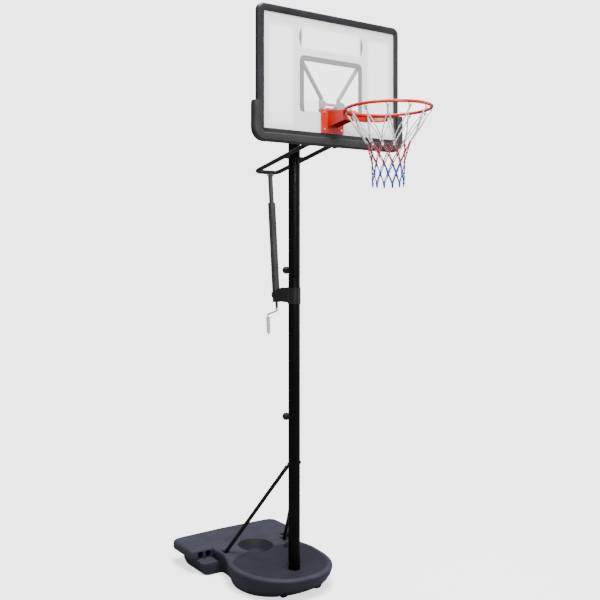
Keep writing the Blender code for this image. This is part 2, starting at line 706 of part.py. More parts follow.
def jack():
    cheek_inside = JACK_OUTER + 0.0012
    sheet = CHEEK_SHEET
    shape = []
    for i in range(9):  # an arch between the pole and the jack, then a lobe round the pivot
        angle = math.radians(20 * i)
        shape.append((-0.080 + 0.098 * math.cos(angle), 0.006 + 0.048 * math.sin(angle)))
    for i in range(7):
        angle = math.radians(90 + 30 * i)
        shape.append((JACK_FOOT[0] + 0.024 * math.cos(angle), 0.024 * math.sin(angle)))
    shape += [(-0.172, -0.040), (0.0, -0.046)]
    outline = [at(cheek_inside, forward, JACK_FOOT[1] + height) for forward, height in shape]
    bracket = slab("jack_pole_bracket", outline, ACROSS * sheet, "black_steel")
    left = [place - ACROSS * (2 * cheek_inside + sheet) for place in outline]
    weld(bracket, slab("jack_cheek_left", left, ACROSS * sheet, "black_steel"))
    collar_low = at(0, 0, JACK_FOOT[1] - 0.050)
    collar = [(0, POLE_RADIUS + 0.004), (0.104, POLE_RADIUS + 0.004)]
    collar_bore = POLE_RADIUS + 0.001
    weld(bracket, turned("jack_collar", collar_low, UP, collar, "black_steel", collar_bore, 32))
    bore = [(-0.01, collar_bore), (0.13, collar_bore)]
    cut(bracket, turned("jack_collar_bore", collar_low, UP, bore, "black_steel", sides=32))
    cut(bracket, pivot_cutter("jack_foot_hole", JACK_BOTTOM, half=0.05))

    outer = jack_tube("jack_outer_tube", -0.050, 0.618, JACK_OUTER, JACK_WALL, "grey_steel")
    cut(outer, pivot_cutter("jack_outer_hole", JACK_BOTTOM, half=0.05))
    pieces = [outer]
    for word, side in (("right", 1), ("left", -1)):  # two stubs, so that the screw can pass between them
        start = JACK_BOTTOM + ACROSS * side * (JACK_OUTER - JACK_WALL)
        reach = cheek_inside + sheet + GAP - (JACK_OUTER - JACK_WALL)
        pin, head = circle(BOLT_RADIUS, 12), hexagon(0.009)
        stub = [(0, pin), (reach, pin), (reach, head), (reach + 0.006, head)]
        name = f"jack_pivot_stub_{word}"
        pieces.append(turned(name, start, ACROSS * side, stub, "zinc", sides=12))
    inside = square(JACK_OUTER - JACK_WALL - GAP, 0.0015)
    screw_hole = circle(JACK_SCREW + 0.0006, 8)
    ends = [on_jack(-0.049), on_jack(-0.030)]
    pieces.append(sweep("jack_end_block", ends, inside, screw_hole, "black_steel"))
    bush_bore = square(JACK_INNER + GAP, 0.0024)
    ends = [on_jack(0.590), on_jack(0.6195)]
    pieces.append(sweep("jack_guide_bush", ends, inside, bush_bore, "black_plastic"))
    carried("jack_outer_axis", JACK_BOTTOM, pieces)

    low, high = 0.235, JACK_LENGTH + 0.012
    inner = jack_tube("jack_inner_tube", low, high, JACK_INNER, JACK_WALL, "grey_steel")
    cut(inner, pivot_cutter("jack_head_hole", JACK_TOP, radius=0.0043, half=0.05))
    grip = EAR_INSIDE + EAR_SHEET + 0.0012
    head = bolt("jack_head_bolt", JACK_TOP - ACROSS * grip, ACROSS, 2 * grip, radius=0.0040)
    nut_outline = square(JACK_INNER - JACK_WALL - GAP, 0.001)
    ends = [on_jack(low + 0.004), on_jack(low + 0.032)]
    nut = sweep("jack_nut", ends, nut_outline, screw_hole, "zinc")
    carried("jack_inner_axis", JACK_TOP, [inner, head, nut])


def crank():
    """The jack's screw, turned from below by an arm whose grip spins on its pin."""
    screw_end, collar_low, collar_high = -0.092, -0.066, -0.052
    stations = [
        (screw_end, 0.0075),
        (collar_low, 0.0095),
        (collar_high, 0.0095),
        (collar_high, JACK_SCREW),
        (JACK_LENGTH - 0.030, JACK_SCREW),
    ]
    screw = turned("jack_screw", JACK_BOTTOM, JACK_AXIS, stations, "black_steel", sides=12)
    start = on_jack(screw_end - GAP)
    outwards = JACK_AXIS.cross(ACROSS)
    pin_place = start + outwards * CRANK_REACH - JACK_AXIS * 0.050
    pin_end = pin_place - JACK_AXIS * (GRIP_LENGTH + 0.016)
    corners = [start, start - JACK_AXIS * 0.016, pin_place + JACK_AXIS * 0.014, pin_end]
    arm = sweep("crank_arm", rounded(corners, 0.012, steps=4), circle(0.0055, 12), None, "zinc")
    knob = [(0, 0.0075), (0.0035, 0.0075)]
    weld(arm, turned("crank_knob", pin_end + JACK_AXIS * 0.003, -JACK_AXIS, knob, "zinc", sides=12))
    grip_top = pin_place - JACK_AXIS * 0.004
    profile = [
        (0.000, GRIP_RADIUS - 0.003),
        (0.004, GRIP_RADIUS),
        (GRIP_LENGTH * 0.5, GRIP_RADIUS - 0.0012),
        (GRIP_LENGTH - 0.004, GRIP_RADIUS),
        (GRIP_LENGTH, GRIP_RADIUS - 0.003),
    ]
    grip = turned("crank_grip", grip_top, -JACK_AXIS, profile, "grey_plastic", bore=0.0060, sides=16)
    axis = carried("crank_axis", start, [screw, arm])
    carried("crank_grip_axis", grip_top, [grip], axis)


# ---------------------------------------------------------------- board


def board_loop(inset, forward, steps=5):
    """A rounded rectangle, this far inside the board's outline, in a plane facing forward."""
    radius = max(BOARD_CORNER - inset, 0.004)
    half = BOARD_HALF_WIDTH - inset
    low, high = BOARD_BOTTOM + inset, BOARD_TOP - inset
    loop = []
    for quarter, (x, z) in enumerate(((half, high), (-half, high), (-half, low), (half, low))):
        centre_x = x - math.copysign(radius, x)
        centre_z = z - radius if quarter < 2 else z + radius
        for i in range(steps + 1):
            angle = math.radians(90 * quarter + 90 * i / steps)
            across = centre_x + radius * math.cos(angle)
            loop.append(at(across, forward, centre_z + radius * math.sin(angle)))
    return loop


def board_frame():
    back = BOARD_FACE - FRAME_DEPTH
    lip = PANEL_FRONT + GAP
    profile = (
        (0.000, back),
        (0.000, BOARD_FACE - 0.006),
        (0.009, BOARD_FACE),
        (FRAME_WIDTH - 0.009, BOARD_FACE),
        (FRAME_WIDTH, BOARD_FACE - 0.005),
        (FRAME_WIDTH, lip),
        (FRAME_WALL, lip),
        (FRAME_WALL, back),
    )
    mesh_data = bmesh.new()
    rings = []
    for inset, forward in profile:
        rings.append([mesh_data.verts.new(place) for place in board_loop(inset, forward)])
    skin_rings(mesh_data, rings, closed=True)
    return as_object(mesh_data, "board_frame", "grey_steel")


def board_pad():
    """A foam channel pressed over the bottom edge and both lower corners."""
    back = BOARD_FACE - FRAME_DEPTH - GAP
    front = BOARD_FACE + GAP
    channel = (
        (-PAD_LIP, front),
        (-PAD_LIP, front + PAD_SKIN * 0.6),
        (-PAD_LIP + 0.006, front + PAD_SKIN),
        (PAD_PROUD - 0.008, front + PAD_SKIN),
        (PAD_PROUD, front + PAD_SKIN - 0.008),
        (PAD_PROUD, back - PAD_SKIN + 0.008),
        (PAD_PROUD - 0.008, back - PAD_SKIN),
        (-0.010, back - PAD_SKIN),
        (-0.010, back),
        (GAP, back),
        (GAP, front),
    )
    corner_x, corner_z = BOARD_HALF_WIDTH - BOARD_CORNER, BOARD_BOTTOM + BOARD_CORNER
    quarter = [(math.radians(18 * i), 0.0) for i in range(6)]
    half = [(0.0, PAD_TOP - corner_z), *quarter]  # (turn round the corner, rise above it)
    stations = [(-1, turn, rise) for turn, rise in half]
    stations += [(1, turn, rise) for turn, rise in reversed(half)]
    mesh_data = bmesh.new()
    loops = []
    for side, turn, rise in stations:
        loop = []
        for out, forward in channel:
            reach = BOARD_CORNER + out
            across = side * (corner_x + reach * math.cos(turn))
            place = at(across, forward, corner_z + rise - reach * math.sin(turn))
            loop.append(mesh_data.verts.new(place))
        loops.append(loop)
    skin_rings(mesh_data, loops, closed=False)
    return as_object(mesh_data, "board_pad", "pad_foam")


def board_bracket():
    """A folded channel behind the panel; the arms' bolts pass through its two flanges."""
    top, bottom = UPPER_BOARD_PIVOT.z + 0.022, LOWER_BOARD_PIVOT.z - 0.021
    back = -LOWER_BOARD_PIVOT.y - 0.021
    above_rail = BOARD_BOTTOM + 0.0125  # clear of the rail and of the pad's back lip
    behind_rail = BOARD_FACE - FRAME_DEPTH - PAD_SKIN - 0.002
    low = at(-BRACKET_HALF_WIDTH, PANEL_BACK - GAP, above_rail)
    high = at(BRACKET_HALF_WIDTH, WEB_BACK, WEB_TOP)
    web = block("board_bracket", low, high, "grey_steel")
    for side in (1, -1):
        start = side * BRACKET_HALF_WIDTH - (BRACKET_SHEET if side > 0 else 0)
        front = PANEL_BACK - GAP
        shape = (
            (front, above_rail),
            (front, top),
            (back + 0.015, top),
            (back, top - 0.015),
            (back, bottom + 0.015),
            (back + 0.015, bottom),
            (behind_rail, bottom),
            (behind_rail, above_rail),
        )
        outline = [at(start, forward, height) for forward, height in shape]
        weld(web, slab(f"bracket_flange_{side}", outline, ACROSS * BRACKET_SHEET, "grey_steel"))
    cut(web, pivot_cutter("bracket_lower_hole", LOWER_BOARD_PIVOT))
    cut(web, pivot_cutter("bracket_upper_hole", UPPER_BOARD_PIVOT))
    return web


def y_brace(word, side):
    """A bent tube from the bracket up behind the panel to the frame's top rail."""
    forward = WEB_BACK - GAP - Y_BRACE_RADIUS
    corners = [
        at(side * Y_BRACE_ACROSS, forward, 2.905),
        at(side * Y_BRACE_ACROSS, forward, 3.118),
        at(side * 0.385, forward, 3.560),
        at(side * 0.385, forward, BOARD_TOP - FRAME_WALL - GAP),
    ]
    path = rounded(corners, 0.035, steps=4)
    outline = circle(Y_BRACE_RADIUS, 12)
    return sweep(f"y_brace_{word}", path, outline, None, "grey_steel", side=FORWARD)


def y_brace_tie():
    """A flat strap across the two bent tubes, wide where it clamps each of them."""
    right = (
        (0.046, 3.074),
        (0.046, 3.060),
        (0.100, 3.060),
        (0.100, 3.104),
        (0.046, 3.104),
        (0.046, 3.092),
    )
    left = [(-across, height) for across, height in reversed(right)]
    outline = [at(across, PANEL_BACK - GAP, height) for across, height in [*right, *left]]
    return slab("y_brace_tie", outline, -FORWARD * BRACKET_SHEET, "grey_steel")


def rim_bolt_hole(name, across, height):
    start = at(across, 0.30, height)
    return rod(name, start, start + FORWARD * 0.12, RIM_BOLT_RADIUS + 0.0006, "zinc", 12)


def rim_bracket():
    """The rim's plate and its neck, folded from sheet and open underneath."""
    plate_back = PANEL_FRONT + GAP
    sheet = RIM_PLATE
    low = at(-0.088, plate_back + sheet, 2.909)
    high = at(0.088, plate_back, 3.054)
    plate = block("rim_bracket", low, high, "rim_paint")
    side_shape = (
        (plate_back + 0.001, 3.046),
        (0.530, 3.030),
        (0.588, 3.001),
        (0.588, 2.979),
        (0.540, 2.972),
        (plate_back + 0.001, 2.945),
    )
    outline = [at(-0.038, forward, height) for forward, height in side_shape]
    neck = slab("neck_outer", outline, ACROSS * 0.076, "rim_paint")
    inner_shape = (
        (plate_back + sheet, 3.042),
        (0.528, 3.026),
        (0.582, 2.998),
        (0.582, 2.90),
        (plate_back + sheet, 2.90),
    )
    outline = [at(-0.034, forward, height) for forward, height in inner_shape]
    cut(neck, slab("neck_inner", outline, ACROSS * 0.068, "rim_paint"))
    weld(plate, neck)
    return plate


def rim_ring():
    """The ring, the strap under its board side, and twelve hooks for the net."""
    centre = at(0, RIM_FORWARD, RIM_HEIGHT)
    mesh_data = bmesh.new()
    rings = []
    count = 36
    for i in range(count):
        angle = 2 * math.pi * i / count
        outward = Vector((math.cos(angle), math.sin(angle), 0))
        place = centre + outward * RIM_RADIUS
        ring = [place + outward * u + UP * v for u, v in circle(RIM_ROD, 8)]
        rings.append([mesh_data.verts.new(corner) for corner in ring])
    skin_rings(mesh_data, rings, closed=True)
    ring = as_object(mesh_data, "rim_ring", "rim_paint", smooth=60)
    for i in range(HOOKS):
        angle = 2 * math.pi * (i + 0.5) / HOOKS
        outward = Vector((math.cos(angle), math.sin(angle), 0))
        along = Vector((-outward.y, outward.x, 0))
        foot = centre + outward * (RIM_RADIUS - 0.002) - UP * (RIM_ROD - 0.003)
        path = [
            foot - along * 0.008,
            foot - along * 0.009 - UP * 0.010,
            foot - UP * 0.018,
            foot + along * 0.008 - UP * 0.012,
        ]
        weld(ring, sweep(f"hook_{i}", path, circle(HOOK_WIRE, 5), None, "rim_paint", side=outward))
    return ring


def rim_strap():
    """A curved plate hung close under the ring's board side, deepest at the neck."""
    centre = at(0, RIM_FORWARD, 0)
    span = math.radians(52)
    steps = 16
    top = RIM_HEIGHT - 0.004
    mesh_data = bmesh.new()
    rings = []
    for i in range(steps + 1):
        angle = math.pi / 2 - span + 2 * span * i / steps
        outward = Vector((math.cos(angle), math.sin(angle), 0))
        depth = STRAP_DEPTH * math.sqrt(1 - 0.97 * abs(2 * i / steps - 1) ** 6)
        low = top - depth
        corners = ((0.0105, top), (0.0105, low), (0.0145, low), (0.0145, top))
        ring = [centre + outward * (RIM_RADIUS + out) + UP * height for out, height in corners]
        rings.append([mesh_data.verts.new(corner) for corner in ring])
    skin_rings(mesh_data, rings, closed=False)
    return as_object(mesh_data, "rim_strap", "rim_paint", smooth=60)


def net():
    """The net's envelope as a thin open sleeve; its cords lie on it."""
    centre = at(0, RIM_FORWARD, 0)
    top = RIM_HEIGHT - RIM_ROD - 0.022
    profile = (
        (top, 0.221),
        (2.900, 0.178),
        (2.835, 0.139),
        (2.780, 0.113),
        (2.680, 0.094),
        (NET_BOTTOM, 0.098),
    )
    thickness = 0.0025
    mesh_data = bmesh.new()
    rings = []
    for offset, stations in ((0.0, profile), (thickness, reversed(profile))):
        for height, radius in stations:
            ring = [centre + Vector((x, y, height)) for x, y in circle(radius + offset, 20)]
            rings.append([mesh_data.verts.new(place) for place in ring])
    skin_rings(mesh_data, rings, closed=True)
    return as_object(mesh_data, "net", "net_cord", smooth=60)


def board():
    pieces = [board_frame(), board_pad(), net(), rim_strap(), rim_ring()]
    loop = board_loop(FRAME_WALL + GAP, PANEL_BACK)
    panel = slab("board_panel", loop, FORWARD * PANEL_THICKNESS, "panel")
    bracket = board_bracket()
    right_brace, left_brace = mirrored(y_brace)
    plate = rim_bracket()
    pieces += [panel, bracket, plate, right_brace, left_brace, y_brace_tie()]
    front = PANEL_FRONT + GAP + RIM_PLATE + 0.0006
    back = WEB_BACK - GAP - 2 * Y_BRACE_RADIUS - 0.0006
    for row, height in zip(("lower", "upper"), RIM_BOLT_HEIGHTS):
        for word, side, brace in (("right", 1, right_brace), ("left", -1, left_brace)):
            across = side * Y_BRACE_ACROSS
            hole = rim_bolt_hole(f"rim_hole_{row}_{word}", across, height)
            for piece in (panel, bracket, plate, brace):
                cut(piece, hole)
            start = at(across, front, height)
            name = f"rim_bolt_{row}_{word}"
            pieces.append(bolt(name, start, -FORWARD, front - back, "zinc", RIM_BOLT_RADIUS))
    reach = BRACKET_HALF_WIDTH + 0.0006
    for level, pivot in (("lower", LOWER_BOARD_PIVOT), ("upper", UPPER_BOARD_PIVOT)):
        pieces.append(bolt(f"{level}_board_bolt", pivot - ACROSS * reach, ACROSS, 2 * reach))
    carried("board_axis", LOWER_BOARD_PIVOT, pieces)


clear_scene()
base()
pole()
braces()
lift()
jack()
crank()
board()
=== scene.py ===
"""The looks of the portable basketball hoop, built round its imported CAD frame.

Metres, +Z up, the floor at Z = 0, the pole's axis at X = Y = 0. The board faces -Y, and places are
written as at(across, forward, height), with forward towards the player.
"""

import math

import bmesh
import bpy
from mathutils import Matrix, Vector, noise


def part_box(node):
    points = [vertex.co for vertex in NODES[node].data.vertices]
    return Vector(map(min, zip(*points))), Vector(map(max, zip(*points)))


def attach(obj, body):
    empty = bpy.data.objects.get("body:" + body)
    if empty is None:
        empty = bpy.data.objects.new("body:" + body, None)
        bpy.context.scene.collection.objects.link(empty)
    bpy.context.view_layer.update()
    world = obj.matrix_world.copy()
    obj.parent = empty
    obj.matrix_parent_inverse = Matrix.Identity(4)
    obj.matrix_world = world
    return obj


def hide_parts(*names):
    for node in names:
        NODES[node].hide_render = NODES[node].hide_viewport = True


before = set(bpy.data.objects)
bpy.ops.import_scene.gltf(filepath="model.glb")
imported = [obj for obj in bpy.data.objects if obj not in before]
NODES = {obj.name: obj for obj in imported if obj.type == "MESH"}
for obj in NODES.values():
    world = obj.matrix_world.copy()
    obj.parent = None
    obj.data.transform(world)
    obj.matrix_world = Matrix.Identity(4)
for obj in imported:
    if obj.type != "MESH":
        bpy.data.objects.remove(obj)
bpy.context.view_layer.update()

ACROSS = Vector((1, 0, 0))
UP = Vector((0, 0, 1))
FORWARD = Vector((0, -1, 0))


def at(across, forward, height):
    return Vector((across, -forward, height))


def span(node):
    """A node's box as across, forward and height ranges."""
    low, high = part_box(node)
    return (low.x, high.x), (-high.y, -low.y), (low.z, high.z)


# ---------------------------------------------------------------- sizes, from the frame

POLE_RADIUS = span("pole_lower")[0][1]
FRAME_ACROSS, FRAME_FORWARD, FRAME_HEIGHTS = span("board_frame")
BOARD_HALF = FRAME_ACROSS[1]
BOARD_BACK, BOARD_FACE = FRAME_FORWARD
BOARD_BOTTOM, BOARD_TOP = FRAME_HEIGHTS
BOARD_CORNER = 0.045
FRAME_WIDTH = 0.045
PANEL_BACK, PANEL_FRONT = span("board_panel")[1]
RIM_BOX = span("rim_ring")
RIM_ROD = 0.009
RIM_RADIUS = RIM_BOX[0][1] - RIM_ROD
STRAP_DEPTH = span("rim_strap")[2][1] - span("rim_strap")[2][0]
RIM_CENTRE = at(0, (RIM_BOX[1][0] + RIM_BOX[1][1]) / 2, RIM_BOX[2][1] - RIM_ROD)
NET_TOP, NET_BOTTOM = span("net")[2][1], span("net")[2][0]
HOOKS = 12
JACK_BOTTOM = at(0, -0.195, 1.905)
JACK_TOP = at(0, -0.262, 2.708)
JACK_AXIS = (JACK_TOP - JACK_BOTTOM).normalized()
ARM_ANGLE = math.radians(12.4)
ARM_DIRECTION = at(0, math.cos(ARM_ANGLE), math.sin(ARM_ANGLE))
ARM_LENGTH = 0.270
LOWER_PIVOT = at(0, 0, 2.800)
UPPER_PIVOT = at(0, 0, 3.016)
ARM_ACROSS = 0.090
WHEEL_BOX = span("wheel_right")
WHEEL_RADIUS = (WHEEL_BOX[2][1] - WHEEL_BOX[2][0]) / 2
WHEEL_CENTRE = at(sum(WHEEL_BOX[0]) / 2, sum(WHEEL_BOX[1]) / 2, sum(WHEEL_BOX[2]) / 2)
DECK = span("base_tank")[2][1]
NOSE_CENTRE = -0.200
SINK = 0.0045  # how far the nose's panel lies below its rim
SQUARENESS = 2.25  # of the nose's outline and of its panel
PANEL_HALF = 0.322
PANEL_REACH = 0.350
PANEL_REAR_REACH = 0.168
RECESS_FORWARD = -0.431
RECESS_RADIUS = 0.125
RECESS_DEPTH = 0.048
CAP_BOX = span("filler_cap")
CAP_PLACE = at(sum(CAP_BOX[0]) / 2, sum(CAP_BOX[1]) / 2, CAP_BOX[2][0] + 0.0217)
KNOB_FORWARD = span("pole_knob_lower")[1][0] + 0.026
BRACE_ACROSS, BRACE_FORWARD = 0.245, -0.435  # each brace's foot on the deck
HAND_HOLES = (0.290, 0.352)  # inner edges of the two holes in each wing
PLUG_DEPTH = 0.080  # how far each pole section goes into the one below
ARM_TUBE, ARM_TAIL, ARM_BEND = 0.014, 0.313, 0.036
STRAP_NEAR, STRAP_FAR, STRAP_REACH = 0.0105, 0.0145, math.radians(52)
TARGET_HALF, TARGET_TOP, TARGET_BOTTOM, TARGET_BAND = 0.246, 3.360, 3.040, 0.033
WINDOW_BOTTOM, WINDOW_SHOULDER, WINDOW_NECK = 3.030, 3.100, 0.104
CRESCENT_MIDDLE, CRESCENT_HALF = 3.465, 0.055
SIDES = (("right", 1), ("left", -1))


# ---------------------------------------------------------------- materials


class Shading:
    """One material's node tree, with short names for the nodes that these finishes use."""

    def __init__(self, name):
        self.material = bpy.data.materials.new(name)
        self.material.use_nodes = True
        self.nodes = self.material.node_tree.nodes
        self.links = self.material.node_tree.links
        self.shader = self.nodes["Principled BSDF"]
        self.place = self.add("ShaderNodeTexCoord").outputs["Object"]

    def add(self, kind, **settings):
        node = self.nodes.new(kind)
        for key, value in settings.items():
            setattr(node, key, value)
        return node

    def put(self, node, socket, value):
        if isinstance(value, bpy.types.NodeSocket):
            self.links.new(value, node.inputs[socket])
        else:
            node.inputs[socket].default_value = value

    def noise(self, scale, detail=3.0, stretch=(1, 1, 1), roughness=0.55):
        mapping = self.add("ShaderNodeMapping")
        self.put(mapping, "Vector", self.place)
        self.put(mapping, "Scale", stretch)
        node = self.add("ShaderNodeTexNoise")
        self.put(node, "Vector", mapping.outputs[0])
        self.put(node, "Scale", scale)
        self.put(node, "Detail", detail)
        self.put(node, "Roughness", roughness)
        return node.outputs["Fac"]

    def cells(self, scale):
        node = self.add("ShaderNodeTexVoronoi")
        self.put(node, "Vector", self.place)
        self.put(node, "Scale", scale)
        return node.outputs["Distance"]

    def ramp(self, value, low, high, out_low=0.0, out_high=1.0):
        node = self.add("ShaderNodeMapRange", interpolation_type="SMOOTHSTEP")
        limits = {"From Min": low, "From Max": high, "To Min": out_low, "To Max": out_high}
        for socket, number in limits.items():
            self.put(node, socket, number)
        self.put(node, "Value", value)
        return node.outputs["Result"]

    def math(self, operation, first, second=0.0):
        node = self.add("ShaderNodeMath", operation=operation)
        self.put(node, 0, first)
        self.put(node, 1, second)
        return node.outputs[0]

    def vector(self, operation, first, second=(0, 0, 0), result="Vector"):
        node = self.add("ShaderNodeVectorMath", operation=operation)
        self.put(node, 0, first)
        self.put(node, 1, second)
        return node.outputs[result]

    def mix(self, share, first, second):
        node = self.add("ShaderNodeMix", data_type="RGBA")
        self.put(node, "Factor", share)
        for socket, value in (("A", first), ("B", second)):
            whole = next(s for s in node.inputs if s.name == socket and s.type == "RGBA")
            if isinstance(value, bpy.types.NodeSocket):
                self.links.new(value, whole)
            else:
                whole.default_value = (*value, 1.0)
        return next(s for s in node.outputs if s.type == "RGBA")

    def edges(self, radius):
        """1 along an edge, falling to 0 at this distance from it."""
        bevel = self.add("ShaderNodeBevel", samples=4)
        self.put(bevel, "Radius", radius)
        normal = self.add("ShaderNodeNewGeometry").outputs["Normal"]
        return self.ramp(self.vector("DOT_PRODUCT", bevel.outputs[0], normal, "Value"), 0.999, 0.90)

    def bump(self, *layers):
        """Each layer is a height, its strength and its depth in metres."""
        normal = None
        for height, strength, depth in layers:
            node = self.add("ShaderNodeBump")
            self.put(node, "Height", height)
            self.put(node, "Strength", strength)
            self.put(node, "Distance", depth)
            if normal:
                self.put(node, "Normal", normal)
            normal = node.outputs[0]
        self.put(self.shader, "Normal", normal)

    def finish(self, colour, roughness, **fixed):
        self.put(self.shader, "Base Color", colour)
        self.put(self.shader, "Roughness", roughness)
        for socket, value in fixed.items():
            self.shader.inputs[socket.replace("_", " ")].default_value = value
        return self.material


def tone(colour, factor):
    return tuple(min(channel * factor, 1.0) for channel in colour)


def powder_coat(name, colour, gloss=0.42, worn=(0.035, 0.035, 0.038), specular=0.16, coat=0.0):
    """Stoved powder coat on steel: an orange-peel skin, thinner and rubbed brighter along its edges."""
    s = Shading(name)
    cloud = s.noise(7.0, 4.0)
    shade = s.mix(s.ramp(cloud, 0.35, 0.68), tone(colour, 0.82), tone(colour, 1.25))
    dust = s.math("MULTIPLY", s.ramp(s.noise(38.0, 6.0), 0.58, 0.75), 0.10)
    shade = s.mix(dust, shade, tone(colour, 2.4))
    rubbed = s.math("MULTIPLY", s.edges(0.0016), s.ramp(s.noise(60.0, 4.0), 0.42, 0.66))
    shade = s.mix(s.math("MULTIPLY", rubbed, 0.40), shade, worn)
    skin = s.noise(620.0, 2.0)
    scratch = s.noise(90.0, 5.0, stretch=(1, 1, 9))
    rough = s.math("ADD", s.ramp(s.noise(24.0, 5.0), 0.3, 0.7, gloss - 0.07, gloss + 0.09),
                   s.ramp(scratch, 0.62, 0.7, 0.0, 0.10))
    s.bump((skin, 0.22, 0.0004), (scratch, 0.04, 0.0006))
    return s.finish(shade, rough, Specular_IOR_Level=specular, Coat_Weight=coat, Coat_Roughness=0.25)


def zinc_plate(name, colour=(0.46, 0.455, 0.47), rough=0.34):
    """Bright zinc with its faint spangle and a little handling wear."""
    s = Shading(name)
    spangle = s.ramp(s.cells(260.0), 0.1, 0.7)
    shade = s.mix(spangle, tone(colour, 0.86), tone(colour, 1.12))
    shade = s.mix(s.ramp(s.noise(55.0, 5.0), 0.55, 0.72, 0.0, 0.4), shade, tone(colour, 0.62))
    s.bump((s.noise(900.0, 2.0), 0.18, 0.0003))
    return s.finish(shade, s.ramp(s.noise(130.0, 4.0), 0.3, 0.7, rough - 0.06, rough + 0.16), Metallic=0.92)


def deck_shadow(s):
    """Painted shade: 1 on the sunk nose panel and in the round recess, which are darkened as if they lay in
    shade.
    """
    parts = s.add("ShaderNodeSeparateXYZ")
    s.put(parts, 0, s.place)
    across = s.math("ABSOLUTE", parts.outputs["X"])
    back = s.math("SUBTRACT", parts.outputs["Y"], -NOSE_CENTRE)
    ahead = s.math("DIVIDE", back, -PANEL_REACH)
    behind = s.math("DIVIDE", back, PANEL_REAR_REACH)
    along = s.math("POWER", s.math("MAXIMUM", ahead, behind), SQUARENESS)
    sideways = s.math("POWER", s.math("DIVIDE", across, PANEL_HALF), SQUARENESS)
    panel = s.ramp(s.math("ADD", along, sideways), 0.93, 1.0, 0.68, 0.0)
    offset = s.vector("DISTANCE", s.place, at(0, RECESS_FORWARD, DECK), "Value")
    recess = s.ramp(offset, RECESS_RADIUS - 0.004, RECESS_RADIUS + 0.003, 1.0, 0.0)
    on_deck = s.ramp(parts.outputs["Z"], 0.105, 0.125)
    return s.math("MULTIPLY", s.math("MAXIMUM", panel, recess), on_deck)


def moulded_plastic(name, colour, rough=0.55, grain=950.0, depth=0.0004,
                    pale=None, specular=0.2, shadow=False):
    """Moulded plastic with a fine spark grain, paler along its edges: rubbed wear, and on the base a painted
    highlight where its rounded edges catch the light.
    """
    s = Shading(name)
    cloud = s.noise(5.0, 5.0)
    shade = s.mix(s.ramp(cloud, 0.36, 0.66), tone(colour, 0.90), tone(colour, 1.12))
    if shadow:
        # painted shade: the nose panel and the recess darkened towards a twelfth of the colour
        shade = s.mix(s.math("MULTIPLY", deck_shadow(s), 0.75), shade, tone(colour, 0.12))
    shade = s.mix(s.ramp(s.noise(70.0, 6.0), 0.60, 0.78, 0.0, 0.16), shade, tone(colour, 1.6))
    if pale:
        # paler edges: rubbed wear, and on the base a painted highlight along its rounded top edges
        rub_and_highlight = s.math("MULTIPLY", s.edges(0.006), s.ramp(s.noise(24.0, 4.0), 0.34, 0.62, 0.25, 1.0))
        shade = s.mix(s.math("MULTIPLY", rub_and_highlight, 0.60), shade, pale)
    fine = s.noise(grain, 3.0)
    s.bump((s.cells(grain * 0.6), 0.16, depth), (fine, 0.2, depth))
    return s.finish(shade, s.ramp(s.noise(16.0, 5.0), 0.3, 0.7, rough - 0.06, rough + 0.08),
                    Specular_IOR_Level=specular)


def cord_yarn(name, colour, dirt):
    """Twisted nylon cord: fine fibres, a soft sheen, a little soiled in places."""
    s = Shading(name)
    fibre = s.noise(1500.0, 4.0, stretch=(1, 1, 0.35))
    shade = s.mix(s.ramp(fibre, 0.3, 0.7), tone(colour, 0.78), tone(colour, 1.10))
    shade = s.mix(s.ramp(s.noise(28.0, 4.0), 0.52, 0.72, 0.0, 0.45), shade, dirt)
    s.bump((fibre, 0.5, 0.0006))
    return s.finish(shade, s.ramp(fibre, 0.2, 0.8, 0.62, 0.9), Sheen_Weight=0.25, Specular_IOR_Level=0.25)


def foam_skin(name, colour):
    """Integral-skin foam: closed pores, small creases and a dull sheen."""
    s = Shading(name)
    pore = s.cells(700.0)
    crease = s.noise(34.0, 6.0, stretch=(1, 1, 3), roughness=0.7)
    shade = s.mix(s.ramp(s.noise(9.0, 4.0), 0.35, 0.7), tone(colour, 0.8), tone(colour, 1.25))
    shade = s.mix(s.ramp(pore, 0.05, 0.3, 0.35, 0.0), shade, tone(colour, 0.5))
    scuff = s.math("MULTIPLY", s.edges(0.008), s.ramp(s.noise(40.0, 5.0), 0.45, 0.7))
    shade = s.mix(s.math("MULTIPLY", scuff, 0.5), shade, tone(colour, 2.6))
    s.bump((crease, 0.12, 0.003), (pore, 0.25, 0.0006))
    return s.finish(shade, s.ramp(crease, 0.3, 0.7, 0.55, 0.75), Specular_IOR_Level=0.3)


def soft_box(s, centre_across, centre_height, half_across, half_height, corner, blur):
    """1 inside a rounded box on the board, falling softly to 0 across its outline."""
    folded = s.vector("ABSOLUTE", s.vector("SUBTRACT", s.place, (centre_across, 0, centre_height)))
    flat = s.vector("MULTIPLY", folded, (1, 0, 1))
    beyond = s.vector("SUBTRACT", flat, (half_across - corner, 0, half_height - corner))
    outside = s.vector("MAXIMUM", beyond)
    return s.ramp(s.vector("LENGTH", outside, result="Value"), corner - blur, corner + blur, 1.0, 0.0)


def print_ink(name):
    """The light grey print behind the clear panel, with its softly edged white blocks."""
    s = Shading(name)
    middle = (BOARD_BOTTOM + BOARD_TOP) / 2
    share = soft_box(s, 0.0, 3.190, TARGET_HALF, 0.160, 0.018, 0.004)
    share = s.math("MAXIMUM", share, soft_box(s, 0.0, 3.468, 0.222, 0.064, 0.018, 0.016))
    for side in (-1, 1):
        beside = soft_box(s, side * 0.383, middle - 0.014, 0.088, 0.286, 0.020, 0.022)
        share = s.math("MAXIMUM", share, beside)
    ground = s.mix(s.ramp(s.noise(6.0, 4.0), 0.3, 0.7), (0.62, 0.625, 0.61), (0.66, 0.665, 0.65))
    shade = s.mix(share, ground, (0.93, 0.93, 0.925))
    dots = s.noise(420.0, 2.0)
    s.bump((dots, 0.05, 0.0002))
    return s.finish(shade, s.ramp(dots, 0.3, 0.7, 0.42, 0.5), Specular_IOR_Level=0.3)


